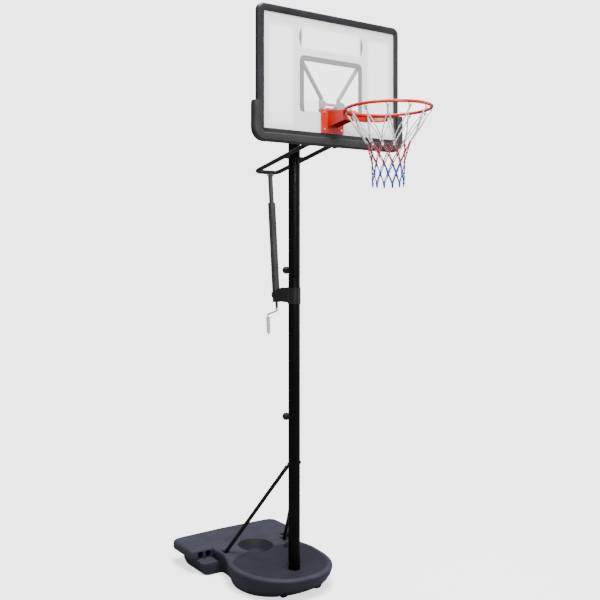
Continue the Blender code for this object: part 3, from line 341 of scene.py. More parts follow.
def clear_panel(name):
    """Clear polycarbonate: gloss at the surface, and whatever is behind it shows through."""
    s = Shading(name)
    smear = s.noise(11.0, 5.0, stretch=(1, 1, 2.2))
    s.bump((s.noise(3.0, 2.0), 0.05, 0.004), (smear, 0.02, 0.001))
    gloss = s.ramp(smear, 0.4, 0.75, 0.05, 0.14)
    return s.finish((0.60, 0.62, 0.63, 1.0), gloss, Specular_IOR_Level=0.5, Alpha=0.10)


BLACK = (0.0018, 0.0017, 0.0019)
CHARCOAL = (0.0105, 0.0102, 0.0122)
GREY = (0.0260, 0.0255, 0.0290)

FINISH = {
    "pole": powder_coat("pole_black_coat", BLACK, 0.40, worn=(0.008, 0.008, 0.009), specular=0.06),
    "brace": powder_coat("brace_black_coat", (0.0060, 0.0056, 0.0062), 0.42, specular=0.12),
    "bracket": powder_coat("bracket_black_coat", (0.0075, 0.0072, 0.0085), 0.42),
    "arm": powder_coat("arm_charcoal_coat", (0.0110, 0.0105, 0.0140), 0.40),
    "jack": powder_coat("jack_grey_coat", GREY, 0.42),
    "frame": powder_coat("frame_charcoal_coat", CHARCOAL, 0.44),
    "y_brace": powder_coat("y_brace_grey_coat", (0.135, 0.135, 0.160), 0.45, worn=(0.20, 0.20, 0.21)),
    "rim": powder_coat("rim_orange_coat", (0.38, 0.0095, 0.0010), 0.36,
                       worn=(0.42, 0.05, 0.015), specular=0.2, coat=0.12),
    "zinc": zinc_plate("zinc_plate"),
    "dark_bolt": zinc_plate("blacked_steel", (0.035, 0.035, 0.038), 0.42),
    "crank": zinc_plate("crank_zinc", (0.55, 0.54, 0.555), 0.36),
    "grip": moulded_plastic("grip_grey_plastic", (0.42, 0.41, 0.44), 0.5, 800.0),
    # pale paints a highlight along the base's rounded top edges; shadow paints shade on its nose panel and
    # recess
    "base": moulded_plastic("base_blow_moulded", (0.0285, 0.0275, 0.0410), 0.55, 520.0, 0.0007,
                            pale=(0.070, 0.068, 0.092), specular=0.07, shadow=True),
    "black_plastic": moulded_plastic("black_plastic", (0.0075, 0.0075, 0.008), 0.42, 900.0),
    "wheel": moulded_plastic("wheel_plastic", (0.010, 0.010, 0.0105), 0.62, 700.0, pale=(0.05, 0.05, 0.05)),
    "foam": foam_skin("pad_foam", (0.0082, 0.0080, 0.0090)),
    "print": print_ink("board_print"),
    "clear": clear_panel("clear_polycarbonate"),
    "target": moulded_plastic("target_grey_print", (0.058, 0.058, 0.070), 0.5, 420.0, 0.0002),
    "cord_white": cord_yarn("cord_white", (0.42, 0.41, 0.405), (0.22, 0.21, 0.20)),
    "cord_red": cord_yarn("cord_red", (0.21, 0.004, 0.010), (0.09, 0.005, 0.010)),
    "cord_blue": cord_yarn("cord_blue", (0.010, 0.042, 0.24), (0.008, 0.020, 0.08)),
}


# ---------------------------------------------------------------- mesh helpers


def linked(name, data):
    """A new object in the scene that holds this mesh, light or camera."""
    holder = bpy.data.objects.new(name, data)
    bpy.context.scene.collection.objects.link(holder)
    return holder


def as_mesh(name, mesh_data):
    """Closes a bmesh into a mesh with its faces outwards."""
    bmesh.ops.recalc_face_normals(mesh_data, faces=mesh_data.faces)
    mesh = bpy.data.meshes.new(name)
    mesh_data.to_mesh(mesh)
    mesh_data.free()
    return mesh


def make(name, mesh_data, finish, body, stands_for=(), smooth=35.0):
    """Turns a bmesh into a piece that rides on its body."""
    mesh = as_mesh(name, mesh_data)
    mesh.shade_smooth()
    mesh.set_sharp_from_angle(angle=math.radians(smooth))
    mesh.materials.append(FINISH[finish])
    piece = linked(name, mesh)
    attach(piece, body)
    if stands_for:
        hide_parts(*stands_for)
    return piece


def skin(mesh_data, rings, closed=False, capped=True):
    """Faces between rings of vertices; closed joins the last ring to the first."""
    pairs = list(zip(rings, rings[1:]))
    if closed:
        pairs.append((rings[-1], rings[0]))
    for low, high in pairs:
        for i, corner in enumerate(low):
            j = (i + 1) % len(low)
            mesh_data.faces.new((corner, low[j], high[j], high[i]))
    if not closed and capped:
        mesh_data.faces.new(rings[0])
        mesh_data.faces.new(rings[-1])


def circle(radius, sides=24):
    turn = 2 * math.pi / sides
    return [(radius * math.cos(i * turn), radius * math.sin(i * turn)) for i in range(sides)]


def along_arc(centre, radius, start, end, steps):
    """Points round a centre from one angle to another, in degrees."""
    turns = [math.radians(start + (end - start) * i / steps) for i in range(steps + 1)]
    return [(centre[0] + radius * math.cos(turn), centre[1] + radius * math.sin(turn)) for turn in turns]


def spoke(angle):
    """The level unit vector at this angle round an upright axis."""
    return Vector((math.cos(angle), math.sin(angle), 0))


def fillet(points, radius, steps=5, closed=False):
    """Points, as vectors, with each corner rounded to this radius or as far as it has room."""
    count = len(points)
    corners = range(count) if closed else range(1, count - 1)
    path = [] if closed else [points[0]]
    for i in corners:
        before, corner, after = points[i - 1], points[i], points[(i + 1) % count]
        into, out = before - corner, after - corner
        if into.length < 1e-7 or out.length < 1e-7:
            continue
        half = into.angle(out) / 2
        if half > math.radians(88):
            path.append(corner)
            continue
        room = min(into.length, out.length) * 0.49
        reach = min(radius / math.tan(half), room)
        true_radius = reach * math.tan(half)
        into.normalize()
        out.normalize()
        centre = corner + (into + out).normalized() * (true_radius / math.sin(half))
        first, last = corner + into * reach - centre, corner + out * reach - centre
        turn = math.pi - 2 * half
        for k in range(steps + 1):
            t = k / steps
            arc = first * math.sin((1 - t) * turn) + last * math.sin(t * turn)
            path.append(centre + arc / math.sin(turn))
    if not closed:
        path.append(points[-1])
    return path


def flat_fillet(points, radius, steps=4, closed=True):
    rounded = fillet([Vector((x, y, 0)) for x, y in points], radius, steps, closed)
    return [(point.x, point.y) for point in rounded]


def sweep(mesh_data, path, outline, side=ACROSS, closed=False, spin=0.0, ends=1.0):
    """Carries an outline along a path. spin turns it per metre, and ends is its scale at both ends."""
    rings = []
    travelled = 0.0
    last = len(path) - 1
    for i, point in enumerate(path):
        ahead = path[(i + 1) % len(path)] if closed else path[min(i + 1, last)]
        behind = path[i - 1] if closed or i else path[0]
        along = (ahead - behind).normalized()
        first = (side - along * side.dot(along)).normalized()
        second = along.cross(first)
        if i:
            travelled += (point - path[i - 1]).length
        turn = spin * travelled
        cos, sin = math.cos(turn), math.sin(turn)
        scale = ends if not closed and i in (0, last) else 1.0
        ring = []
        for u, v in outline:
            a, b = (u * cos - v * sin) * scale, (u * sin + v * cos) * scale
            ring.append(mesh_data.verts.new(point + first * a + second * b))
        rings.append(ring)
    skin(mesh_data, rings, closed)


def lathe(mesh_data, start, along, stations, sides=48, bore=None):
    """A turned body: (distance, radius) stations along an axis, with an optional bore."""
    along = along.normalized()
    side = UP if abs(along.z) < 0.5 else ACROSS
    first = (side - along * side.dot(along)).normalized()
    second = along.cross(first)
    hole = [(stations[-1][0], bore), (stations[0][0], bore)] if bore else []
    rings = []
    for distance, radius in [*stations, *hole]:
        ring = [start + along * distance + first * u + second * v for u, v in circle(radius, sides)]
        rings.append([mesh_data.verts.new(point) for point in ring])
    skin(mesh_data, rings, closed=bool(bore))


def turned_profile(points, radius=0.0015, steps=3):
    """Rounds the corners of a turned profile that doesn't come back on itself."""
    return flat_fillet(points, radius, steps, closed=False)


def plate(mesh_data, outline, thickness):
    """A flat outline of points, extruded by a vector."""
    low = [mesh_data.verts.new(point) for point in outline]
    high = [mesh_data.verts.new(point + thickness) for point in outline]
    skin(mesh_data, [low, high])


def ball(mesh_data, centre, radius, squash=1.0, axis=UP, segments=12):
    """A small rounded lump, such as a weld bead or a knot."""
    rings = []
    rows = segments // 2
    side = ACROSS if abs(axis.dot(ACROSS)) < 0.9 else UP
    first = (side - axis * side.dot(axis)).normalized()
    second = axis.cross(first)
    for i in range(1, rows):
        angle = math.pi * i / rows
        ring = []
        for u, v in circle(radius * math.sin(angle), segments):
            place = centre + first * u + second * v - axis * (radius * squash * math.cos(angle))
            ring.append(mesh_data.verts.new(place))
        rings.append(ring)
    skin(mesh_data, rings)


def soften(piece, width):
    """Rounds the sharp edges of a piece, with real geometry."""
    bevel = piece.modifiers.new("Rounded edges", "BEVEL")
    bevel.width = width
    bevel.segments = 2
    bevel.limit_method = "ANGLE"
    bevel.angle_limit = math.radians(30)
    bevel.use_clamp_overlap = True
    even = piece.modifiers.new("Even shading", "WEIGHTED_NORMAL")
    even.keep_sharp = False
    even.weight = 80


def dress(node, finish, edge=0.0006):
    """Gives a CAD node its finish and softly rounded edges; its mesh stays as packed."""
    piece = NODES[node]
    mesh = piece.data
    if "custom_normal" in mesh.attributes:
        mesh.attributes.remove(mesh.attributes["custom_normal"])
    mesh.shade_smooth()
    mesh.materials.clear()
    mesh.materials.append(FINISH[finish])
    weld = piece.modifiers.new("Join split corners", "WELD")
    weld.merge_threshold = 0.00001
    soften(piece, edge)
    return piece


# ---------------------------------------------------------------- base

BASE_LEVELS = (  # height, nose, half width of the nose, waist, wing front, wing half, rear
    (0.000, 0.050, 0.300, 0.238, -0.488, 0.368, -0.762),
    (0.003, 0.060, 0.305, 0.240, -0.487, 0.373, -0.768),
    (0.014, 0.078, 0.315, 0.242, -0.486, 0.381, -0.777),
    (0.040, 0.118, 0.328, 0.250, -0.484, 0.390, -0.790),
    (0.080, 0.150, 0.336, 0.258, -0.483, 0.396, -0.797),
    (0.086, 0.153, 0.338, 0.262, -0.490, 0.398, -0.799),
    (0.089, 0.155, 0.339, 0.266, -0.550, 0.404, -0.804),
    (0.094, 0.159, 0.341, 0.271, -0.553, 0.432, -0.830),
    (0.100, 0.163, 0.343, 0.275, -0.552, 0.443, -0.841),
    (0.112, 0.167, 0.345, 0.277, -0.552, 0.446, -0.844),
    (0.138, 0.177, 0.350, 0.284, -0.552, 0.446, -0.844),
    (0.150, 0.177, 0.349, 0.283, -0.554, 0.443, -0.842),
    (0.1585, 0.168, 0.342, 0.277, -0.562, 0.433, -0.833),
    (0.160, 0.156, 0.332, 0.267, -0.571, 0.422, -0.822),
    (0.160, 0.150, 0.326, 0.262, -0.577, 0.416, -0.816),
)


def ease(t):
    t = min(max(t, 0.0), 1.0)
    return t * t * (3 - 2 * t)


def deck_height(forward, height):
    """The height of a level here: over the nose the deck is 14 mm lower than over the wings."""
    return height - 0.014 * ease((forward + 0.36) / 0.22) * (height / DECK)


def half_outline(nose, half, waist, wing_front, wing_half, rear):
    """Right-hand half of the base's outline, from the front of the nose to the middle of the rear."""
    points = [(0.0, nose)]
    power = 2 / SQUARENESS
    for i in range(1, 27):
        angle = math.radians(90 * i / 26)
        across = half * math.sin(angle) ** power
        points.append((across, NOSE_CENTRE + (nose - NOSE_CENTRE) * max(math.cos(angle), 0) ** power))
    for i in range(1, 13):
        t = i / 12
        across = waist + (half - waist) * (1 + math.cos(math.pi * t)) / 2
        points.append((across, NOSE_CENTRE - 0.240 * t))
    inner, front_corner, rear_corner = 0.014, 0.035, 0.055
    points += along_arc((waist + inner, wing_front + inner), inner, 180, 270, 4)
    points += along_arc((wing_half - front_corner, wing_front - front_corner), front_corner, 90, 0, 8)
    points += along_arc((wing_half - rear_corner, rear + rear_corner), rear_corner, 0, -90, 8)
    points.append((wing_half * 0.45, rear - 0.007))
    points.append((0.0, rear - 0.012))
    return points


def nose_panel(across, forward):
    """1 on the sunk panel round the pole, 0 on its rim and on the deck behind."""
    reach = PANEL_REACH if forward > NOSE_CENTRE else PANEL_REAR_REACH
    along = (abs(forward - NOSE_CENTRE) / reach) ** SQUARENESS
    away = (abs(across) / PANEL_HALF) ** SQUARENESS + along
    return ease((1.0 - away) / 0.10)


def eased_levels():
    """The levels joined by a smooth curve through the middles between them."""
    levels = [BASE_LEVELS[0]]
    for before, here, after in zip(BASE_LEVELS, BASE_LEVELS[1:], BASE_LEVELS[2:]):
        for t in (0.0, 0.5):
            ahead = [(a + b) / 2 * (1 - t) ** 2 + b * 2 * t * (1 - t) + (b + c) / 2 * t * t
                     for a, b, c in zip(before, here, after)]
            levels.append(ahead)
    return [*levels, BASE_LEVELS[-1]]


def base_body():
    """The tank's outer skin: one ring of points for each level, and a grid over the deck."""
    mesh_data = bmesh.new()
    rings = []
    for height, *shape in eased_levels():
        half = half_outline(*shape)
        whole = half + [(-across, forward) for across, forward in half[-2:0:-1]]
        places = [at(x, forward, deck_height(forward, height)) for x, forward in whole]
        rings.append([mesh_data.verts.new(place) for place in places])
    skin(mesh_data, rings, capped=False)
    mesh_data.faces.new(rings[0])
    top, columns = rings[-1], 30
    count = len(top)
    rows = [[top[0]] * (columns + 1)]
    for i in range(1, count // 2):
        right, left = top[i], top[count - i]
        row = [right]
        for k in range(1, columns):
            place = right.co.lerp(left.co, k / columns)
            place.z -= SINK * nose_panel(place.x, -place.y)
            row.append(mesh_data.verts.new(place))
        rows.append([*row, left])
    rows.append([top[count // 2]] * (columns + 1))
    for near, far in zip(rows, rows[1:]):
        for k in range(columns):
            corners = []
            for vertex in (near[k], near[k + 1], far[k + 1], far[k]):
                if vertex not in corners:
                    corners.append(vertex)
            if len(corners) > 2:
                mesh_data.faces.new(corners)
    return mesh_data


def cutter(build):
    """A shape that is taken out of another; it is removed once it has been used."""
    mesh_data = bmesh.new()
    build(mesh_data)
    return linked("cutter", as_mesh("cutter", mesh_data))


def carve(piece, tools):
    """Cuts the tools out of the piece and keeps the result as its mesh."""
    for tool in tools:
        modifier = piece.modifiers.new("Cut", "BOOLEAN")
        modifier.operation = "DIFFERENCE"
        modifier.object = tool
    bpy.context.view_layer.update()
    graph = bpy.context.evaluated_depsgraph_get()
    carved = bpy.data.meshes.new_from_object(piece.evaluated_get(graph))
    piece.modifiers.clear()
    piece.data = carved
    for tool in tools:
        bpy.data.objects.remove(tool, do_unlink=True)
    carved.shade_smooth()
    carved.set_sharp_from_angle(angle=math.radians(35))


def rounded_block(mesh_data, low, high, radius, draft=0.0):
    """A block with rounded upright corners; draft widens it towards its top."""
    rings = []
    for height, grow in ((low.z, 0.0), (high.z, draft)):
        box = [(low.x - grow, low.y - grow), (high.x + grow, low.y - grow),
               (high.x + grow, high.y + grow), (low.x - grow, high.y + grow)]
        outline = flat_fillet(box, radius, 6)
        rings.append([mesh_data.verts.new((x, y, height)) for x, y in outline])
    skin(mesh_data, rings)


def base():
    """The blow-moulded tank, with its recess, sockets, holes and wheel wells cut out."""
    body = make("base_shell", base_body(), "base", "root", ["base_tank"])
    bowl_radius = (RECESS_RADIUS**2 + RECESS_DEPTH**2) / (2 * RECESS_DEPTH)
    bowl_centre = at(0, RECESS_FORWARD, DECK - RECESS_DEPTH + bowl_radius)
    reach = math.asin(RECESS_RADIUS / bowl_radius)
    turns = [reach * i / 12 for i in range(1, 13)]
    stations = [(bowl_radius * (1 - math.cos(turn)), bowl_radius * math.sin(turn) + 0.0001) for turn in turns]
    stations += [(stations[-1][0] + 0.004, 0.131), (stations[-1][0] + 0.03, 0.160)]
    tools = [cutter(lambda m: lathe(m, bowl_centre - UP * bowl_radius, UP, [(0, 0.004), *stations], 72))]
    socket = [(0, POLE_RADIUS + 0.0012), (0.116, POLE_RADIUS + 0.0012), (0.128, 0.046), (0.2, 0.060)]
    tools.append(cutter(lambda m: lathe(m, at(0, 0, 0.022), UP, socket, 64)))
    mouth = [(0, 0.028), (0.0165, 0.028), (0.0225, 0.0315), (0.05, 0.04)]
    tools.append(cutter(lambda m: lathe(m, CAP_PLACE - UP * 0.022, UP, mouth, 48)))
    for side in (1, -1):
        foot = at(side * BRACE_ACROSS, BRACE_FORWARD, DECK)
        size = Vector((0.022, 0.030, 0.014))
        tools.append(cutter(lambda m: rounded_block(m, foot - size, foot + size, 0.007, 0.004)))
        hole = foot + at(0, -0.016, -0.05)
        tools.append(cutter(lambda m: lathe(m, hole, UP, [(0, 0.0046), (0.1, 0.0046)], 24)))
        for inner in HAND_HOLES:
            tools.append(cutter(lambda m: hand_hole(m, side * (inner + 0.022), 0.022)))
        tools.append(cutter(lambda m: wheel_well(m, wheel_centre(side))))
    axle = wheel_centre(-1) - ACROSS * 0.030
    tools.append(cutter(lambda m: lathe(m, axle, ACROSS, [(0, 0.0066), (0.330, 0.0066)], 24)))
    carve(body, tools)


def wheel_centre(side):
    return Vector((side * WHEEL_CENTRE.x, WHEEL_CENTRE.y, WHEEL_CENTRE.z))


def hand_hole(mesh_data, middle, half):
    """A hand hole under a wing's front edge, arched at the top."""
    shape = [(-half, 0.094), (half, 0.094), (half, 0.143), (-half, 0.143)]
    outline = [at(middle + x, -0.620, height) for x, height in flat_fillet(shape, 0.012, 6)]
    plate(mesh_data, outline, FORWARD * 0.100)


def wheel_well(mesh_data, centre):
    """The room for a wheel, open downwards and forwards."""
    half, reach = 0.022, WHEEL_RADIUS + 0.006
    shape = [(0.2, -0.1), (0.2, 0.0), *along_arc((0, 0), reach, 0, 180, 24), (-reach, -0.1)]
    plate(mesh_data, [centre + at(-half, forward, height) for forward, height in shape], ACROSS * 2 * half)


def wheels():
    """Two moulded wheels with a ribbed web, a proud tyre band and an open hub."""
    half, radius, hub = 0.018, WHEEL_RADIUS, 0.014
    profile = [(-half, hub), (-half + 0.005, hub + 0.003), (-half + 0.008, 0.020),
               (-half + 0.008, radius - 0.014), (-half + 0.001, radius - 0.010),
               (-half + 0.003, radius - 0.0025), (-half + 0.007, radius),
               (-0.0045, radius), (-0.003, radius - 0.0012)]
    profile += [(-distance, reach) for distance, reach in reversed(profile)]
    for word, side in SIDES:
        centre = wheel_centre(side)
        mesh_data = bmesh.new()
        lathe(mesh_data, centre, ACROSS, turned_profile(profile, 0.0012, 2), 56, bore=0.0066)
        for i in range(6):
            turn = math.radians(60 * i + 30)
            out = Vector((0, math.cos(turn), math.sin(turn)))
            beside = ACROSS.cross(out)
            for face in (-1, 1):
                start = centre + ACROSS * face * (half - 0.0085)
                corners = [start + out * 0.0125 + beside * 0.0016, start + out * 0.0125 - beside * 0.0016,
                           start + out * (radius - 0.0105) - beside * 0.0016,
                           start + out * (radius - 0.0105) + beside * 0.0016]
                plate(mesh_data, corners, ACROSS * face * 0.0060)
        node = f"wheel_{word}"
        make(f"{node}_moulding", mesh_data, "wheel", node, [node])


def filler_cap():
    """A screw cap with a knurled skirt and a finger bar, on the neck that stands up round its mouth."""
    place = CAP_PLACE
    mesh_data = bmesh.new()
    neck = [(-0.012, 0.0375), (-0.0050, 0.0360), (-0.0012, 0.0335), (-0.0003, 0.0320)]
    lathe(mesh_data, place, UP, neck, 64, bore=0.0282)
    make("filler_neck_ring", mesh_data, "base", "root")
    mesh_data = bmesh.new()
    profile = [(-0.0217, 0.0205), (0.0, 0.0205), (0.0010, 0.0270), (0.0075, 0.0270), (0.0100, 0.0240)]
    lathe(mesh_data, place, UP, turned_profile(profile, 0.001, 3), 64)
    for i in range(36):
        turn = math.radians(10 * i)
        ball(mesh_data, place + spoke(turn) * 0.0270 + UP * 0.0042, 0.0011, 2.4, UP, 8)
    bar = [(-0.021, 0.009), (0.021, 0.009), (0.021, 0.0155),
           (0.013, 0.0165), (-0.013, 0.0165), (-0.021, 0.0155)]
    outline = [place + Vector((-0.0035, y, z)) for y, z in flat_fillet(bar, 0.0025, 4)]
    plate(mesh_data, outline, ACROSS * 0.007)
    cap = make("filler_cap_moulding", mesh_data, "black_plastic", "filler_cap", ["filler_cap"])
    soften(cap, 0.0005)


# ---------------------------------------------------------------- pole and braces


def pole():
    """Three drawn tubes, each plugged into the one below, and a domed cap."""
    plug = POLE_RADIUS - 0.0028
    for word in ("lower", "middle", "upper"):
        _, _, (low, high) = span(f"pole_{word}")
        start = low if word == "lower" else low + PLUG_DEPTH
        length = high - start
        mesh_data = bmesh.new()
        profile = [(0.0, POLE_RADIUS - 0.0009), (0.0008, POLE_RADIUS), (length - 0.0022, POLE_RADIUS),
                   (length - 0.0002, POLE_RADIUS - 0.0013)]
        profile = turned_profile(profile, 0.0008, 3)
        lathe(mesh_data, at(0, 0, start), UP, profile, 96, bore=POLE_RADIUS - 0.0025)
        if word != "lower":
            profile = [(0, plug - 0.002), (0.003, plug), (PLUG_DEPTH + 0.001, plug)]
            lathe(mesh_data, at(0, 0, start - PLUG_DEPTH), UP, profile, 64, bore=plug - 0.0025)
        seam = [at(-POLE_RADIUS - 0.0003, -0.0004, start + 0.004 + (length - 0.008) * i / 40)
                for i in range(41)]
        bead = [(-0.0008, -0.0009), (0.0008, -0.0009), (0.0003, 0.0007), (-0.0003, 0.0007)]
        sweep(mesh_data, seam, bead, FORWARD)
        make(f"pole_{word}_tube", mesh_data, "pole", "root", [f"pole_{word}"])
    _, _, (_, top) = span("pole_upper")
    profile = [(-0.020, plug), (0.0, plug), (0.0003, POLE_RADIUS), (0.0035, POLE_RADIUS)]
    for i in range(1, 9):
        angle = math.radians(80 * i / 8)
        profile.append((0.0035 + 0.0105 * math.sin(angle), POLE_RADIUS * math.cos(angle)))
    mesh_data = bmesh.new()
    lathe(mesh_data, at(0, 0, top), UP, profile, 72)
    make("pole_top_cap_moulding", mesh_data, "black_plastic", "root", ["pole_top_cap"])


def pole_knobs():
    """Ball knobs with a parting line and shallow flutes on their screws."""
    radius = 0.0255
    for word in ("lower", "upper"):
        heights = span(f"pole_knob_{word}")[2]
        centre = at(0, KNOB_FORWARD, (heights[0] + heights[1]) / 2)
        profile = [(-0.060, 0.004), (-0.043, 0.004), (-0.0425, 0.0105), (-0.027, 0.012)]
        for i in range(1, 25):
            angle = math.radians(-64 + 150 * i / 24)
            groove = 0.0007 if i == 10 else 0.0
            profile.append((radius * math.sin(angle), radius * math.cos(angle) - groove))
        mesh_data = bmesh.new()
        lathe(mesh_data, centre, -FORWARD, profile, 60)
        for vertex in mesh_data.verts:
            out = vertex.co - centre
            flute = Vector((out.x, 0, out.z))
            if flute.length > 0.014:
                turn = math.atan2(out.z, out.x)
                depth = 0.0011 * ease((flute.length - 0.014) / 0.008) * (0.5 + 0.5 * math.cos(8 * turn))
                vertex.co -= flute.normalized() * depth
        for i in range(5):
            lathe(mesh_data, centre - FORWARD * (-0.0595 + 0.003 * i), -FORWARD,
                  [(0, 0.0038), (0.0008, 0.0045), (0.0016, 0.0038)], 24)
        node = f"pole_knob_{word}"
        make(f"{node}_ball", mesh_data, "black_plastic", f"knob_{word}", [node])


def flattened_tube(mesh_data, path, radius, flat_ends, side=ACROSS):
    """A tube pressed flat over its ends: flat_ends gives the length of each pressed end."""
    total = sum((b - a).length for a, b in zip(path, path[1:]))
    rings = []
    travelled = 0.0
    for i, point in enumerate(path):
        if i:
            travelled += (point - path[i - 1]).length
        ahead, behind = path[min(i + 1, len(path) - 1)], path[max(i - 1, 0)]
        along = (ahead - behind).normalized()
        first = (side - along * side.dot(along)).normalized()
        second = along.cross(first)
        press = 0.0
        for length, distance in zip(flat_ends, (travelled, total - travelled)):
            if length:
                press = max(press, 1 - ease((distance - length) / 0.035))
        thin, wide = 1 - 0.78 * press, 1 + 0.36 * press
        rings.append([mesh_data.verts.new(point + first * u * thin + second * v * wide)
                      for u, v in circle(radius, 24)])
    skin(mesh_data, rings)


def evenly(path, spacing):
    """The same path with points no further apart than this."""
    points = [path[0]]
    for a, b in zip(path, path[1:]):
        steps = max(1, math.ceil((b - a).length / spacing))
        points += [a.lerp(b, k / steps) for k in range(1, steps + 1)]
    return points


def braces():
    """Two tubes from the pole down to the deck, each with a flat tab at its top and a foot plate."""
    sheet = 0.0025
    for word, side in SIDES:
        top = at(side * (POLE_RADIUS + sheet + 0.001), 0, 0.824)
        foot = at(side * BRACE_ACROSS, BRACE_FORWARD, DECK - 0.014 + sheet + 0.0003)
        knee = foot + at(0, 0.012, 0.020)
        along = (top - knee).normalized()
        path = fillet([foot + at(0, 0.004, 0.006), knee, top - along * 0.026], 0.02, 5)
        mesh_data = bmesh.new()
        flattened_tube(mesh_data, evenly(path, 0.008), 0.0125, (0.0, 0.004))
        tab = [(0.013, 0.000), (0.009, 0.011), (-0.006, 0.013),
               (-0.030, -0.026), (-0.022, -0.037), (0.010, -0.011)]
        outline = [top + at(-sheet, forward, height) for forward, height in flat_fillet(tab, 0.008, 5)]
        plate(mesh_data, outline, ACROSS * 2 * sheet)
        low, high = Vector((-0.013, -0.022, -sheet)), Vector((0.013, 0.027, sheet))
        rounded_block(mesh_data, foot + low, foot + high, 0.008)
        brace = make(f"brace_{word}_tube", mesh_data, "brace", "root", [f"brace_{word}"])
        soften(brace, 0.0006)


# ---------------------------------------------------------------- lift arms and jack


def lower_arm():
    """A bent tube past both sides of the pole, with the jack's slotted ears on its cross tube."""
    front = LOWER_PIVOT + ARM_DIRECTION * (ARM_LENGTH + 0.020)
    back = LOWER_PIVOT - ARM_DIRECTION * ARM_TAIL
    corners = [front - ACROSS * ARM_ACROSS, back - ACROSS * ARM_ACROSS,
               back + ACROSS * ARM_ACROSS, front + ACROSS * ARM_ACROSS]
    path = evenly(fillet(corners, ARM_BEND, 14), 0.03)
    mesh_data = bmesh.new()
    up = ARM_DIRECTION.cross(ACROSS)
    sweep(mesh_data, path, circle(ARM_TUBE, 32), up, ends=0.9)
    for end in (0, -1):  # plastic plugs in the tube's ends
        ball(mesh_data, path[end], 0.0123, 0.35, ARM_DIRECTION, 24)
    across_jack = JACK_AXIS.cross(ACROSS)
    for side in (1, -1):
        start = ACROSS * (side * 0.016 + (0 if side > 0 else -0.004))
        box = [(-0.024, -0.016), (0.024, -0.016), (0.024, 0.016), (-0.024, 0.016)]
        outline = [JACK_TOP + across_jack * u + JACK_AXIS * v + start
                   for u, v in flat_fillet(box, 0.007, 5)]
        plate(mesh_data, outline, ACROSS * 0.004)
        tube = back + start
        toward = (tube - JACK_TOP - start).normalized()
        beside = toward.cross(ACROSS)
        neck = [JACK_TOP + start + beside * 0.014, JACK_TOP + start - beside * 0.014,
                tube - beside * 0.011, tube + beside * 0.011]
        plate(mesh_data, neck, ACROSS * 0.004)
        for lean in (-1, 1):
            for k in range(5):  # the weld that holds the ear to the cross tube
                bead = tube + ACROSS * (0.002 + lean * 0.0028) - toward * 0.0125 + beside * (0.0035 * (k - 2))
                ball(mesh_data, bead, 0.0023, 0.8, toward, 8)
    arm = make("lower_arm_tube", mesh_data, "arm", "lower_arm", ["lower_arm_frame"])
    ends = along_arc((0.011, 0), 0.0088, -90, 90, 12) + along_arc((-0.011, 0), 0.0088, 90, 270, 12)
    slot = [JACK_TOP + across_jack * u + JACK_AXIS * v - ACROSS * 0.04 for u, v in ends]
    carve(arm, [cutter(lambda m: plate(m, slot, ACROSS * 0.08))])


def upper_arms():
    """Two arms, each pressed flat at the pole and welded to a sleeve at the board."""
    for word, side in SIDES:
        offset = ACROSS * side * ARM_ACROSS
        back = UPPER_PIVOT - ARM_DIRECTION * 0.018 + offset
        front = UPPER_PIVOT + ARM_DIRECTION * ARM_LENGTH + offset
        mesh_data = bmesh.new()
        flattened_tube(mesh_data, evenly([back, front], 0.006), 0.011, (0.030, 0.0), UP)
        hub = UPPER_PIVOT + ARM_DIRECTION * ARM_LENGTH
        length = 0.0575
        profile = [(0, 0.0130), (0.0012, 0.0145), (length - 0.0012, 0.0145), (length, 0.0130)]
        lathe(mesh_data, hub + ACROSS * side * 0.048, ACROSS * side, profile, 40, bore=0.0056)
        for k in range(14):  # the weld round the arm where it meets its sleeve
            turn = 2 * math.pi * k / 14
            rim = ACROSS * math.cos(turn) + ARM_DIRECTION.cross(ACROSS) * math.sin(turn)
            ball(mesh_data, front - ARM_DIRECTION * 0.0125 + rim * 0.0108, 0.0021, 0.8, ARM_DIRECTION, 8)
        node = f"upper_arm_{word}"
        make(f"{node}_tube", mesh_data, "arm", "upper_arms", [node])


def crank():
    """The crank's bent rod with its socket, and a ribbed grip that spins on it."""
    start = JACK_BOTTOM - JACK_AXIS * 0.0923
    outwards = JACK_AXIS.cross(ACROSS)
    pin = start + outwards * 0.105 - JACK_AXIS * 0.050
    corners = [start, start - JACK_AXIS * 0.016, pin + JACK_AXIS * 0.014, pin - JACK_AXIS * 0.124]
    mesh_data = bmesh.new()
    sweep(mesh_data, evenly(fillet(corners, 0.012, 10), 0.01), circle(0.0055, 28))
    lathe(mesh_data, pin - JACK_AXIS * 0.1205, -JACK_AXIS,
          turned_profile([(0, 0.005), (0.0003, 0.0078), (0.0036, 0.0078), (0.0040, 0.005)], 0.001, 3), 32)
    lathe(mesh_data, start, -JACK_AXIS,
          turned_profile([(0, 0.0058), (0.0006, 0.0088), (0.013, 0.0088), (0.0145, 0.0058)], 0.001, 3), 36)
    make("crank_arm_rod", mesh_data, "crank", "crank", ["crank_arm"])
    length, radius = 0.108, 0.0135
    profile = [(0.0, radius - 0.0035), (0.0010, radius - 0.0012), (0.004, radius)]
    ribs = 15
    for i in range(ribs):
        middle = 0.010 + (length - 0.020) * i / (ribs - 1)
        waist = 0.0008 * math.sin(math.pi * i / (ribs - 1))
        profile += [(middle - 0.0018, radius - waist), (middle - 0.0008, radius - waist - 0.0007),
                    (middle + 0.0008, radius - waist - 0.0007), (middle + 0.0018, radius - waist)]
    profile += [(length - 0.004, radius), (length - 0.0010, radius - 0.0012), (length, radius - 0.0035)]
    mesh_data = bmesh.new()
    lathe(mesh_data, pin - JACK_AXIS * 0.004, -JACK_AXIS, profile, 56, bore=0.0060)
    make("crank_grip_sleeve", mesh_data, "grip", "crank_grip", ["crank_grip"], smooth=28)


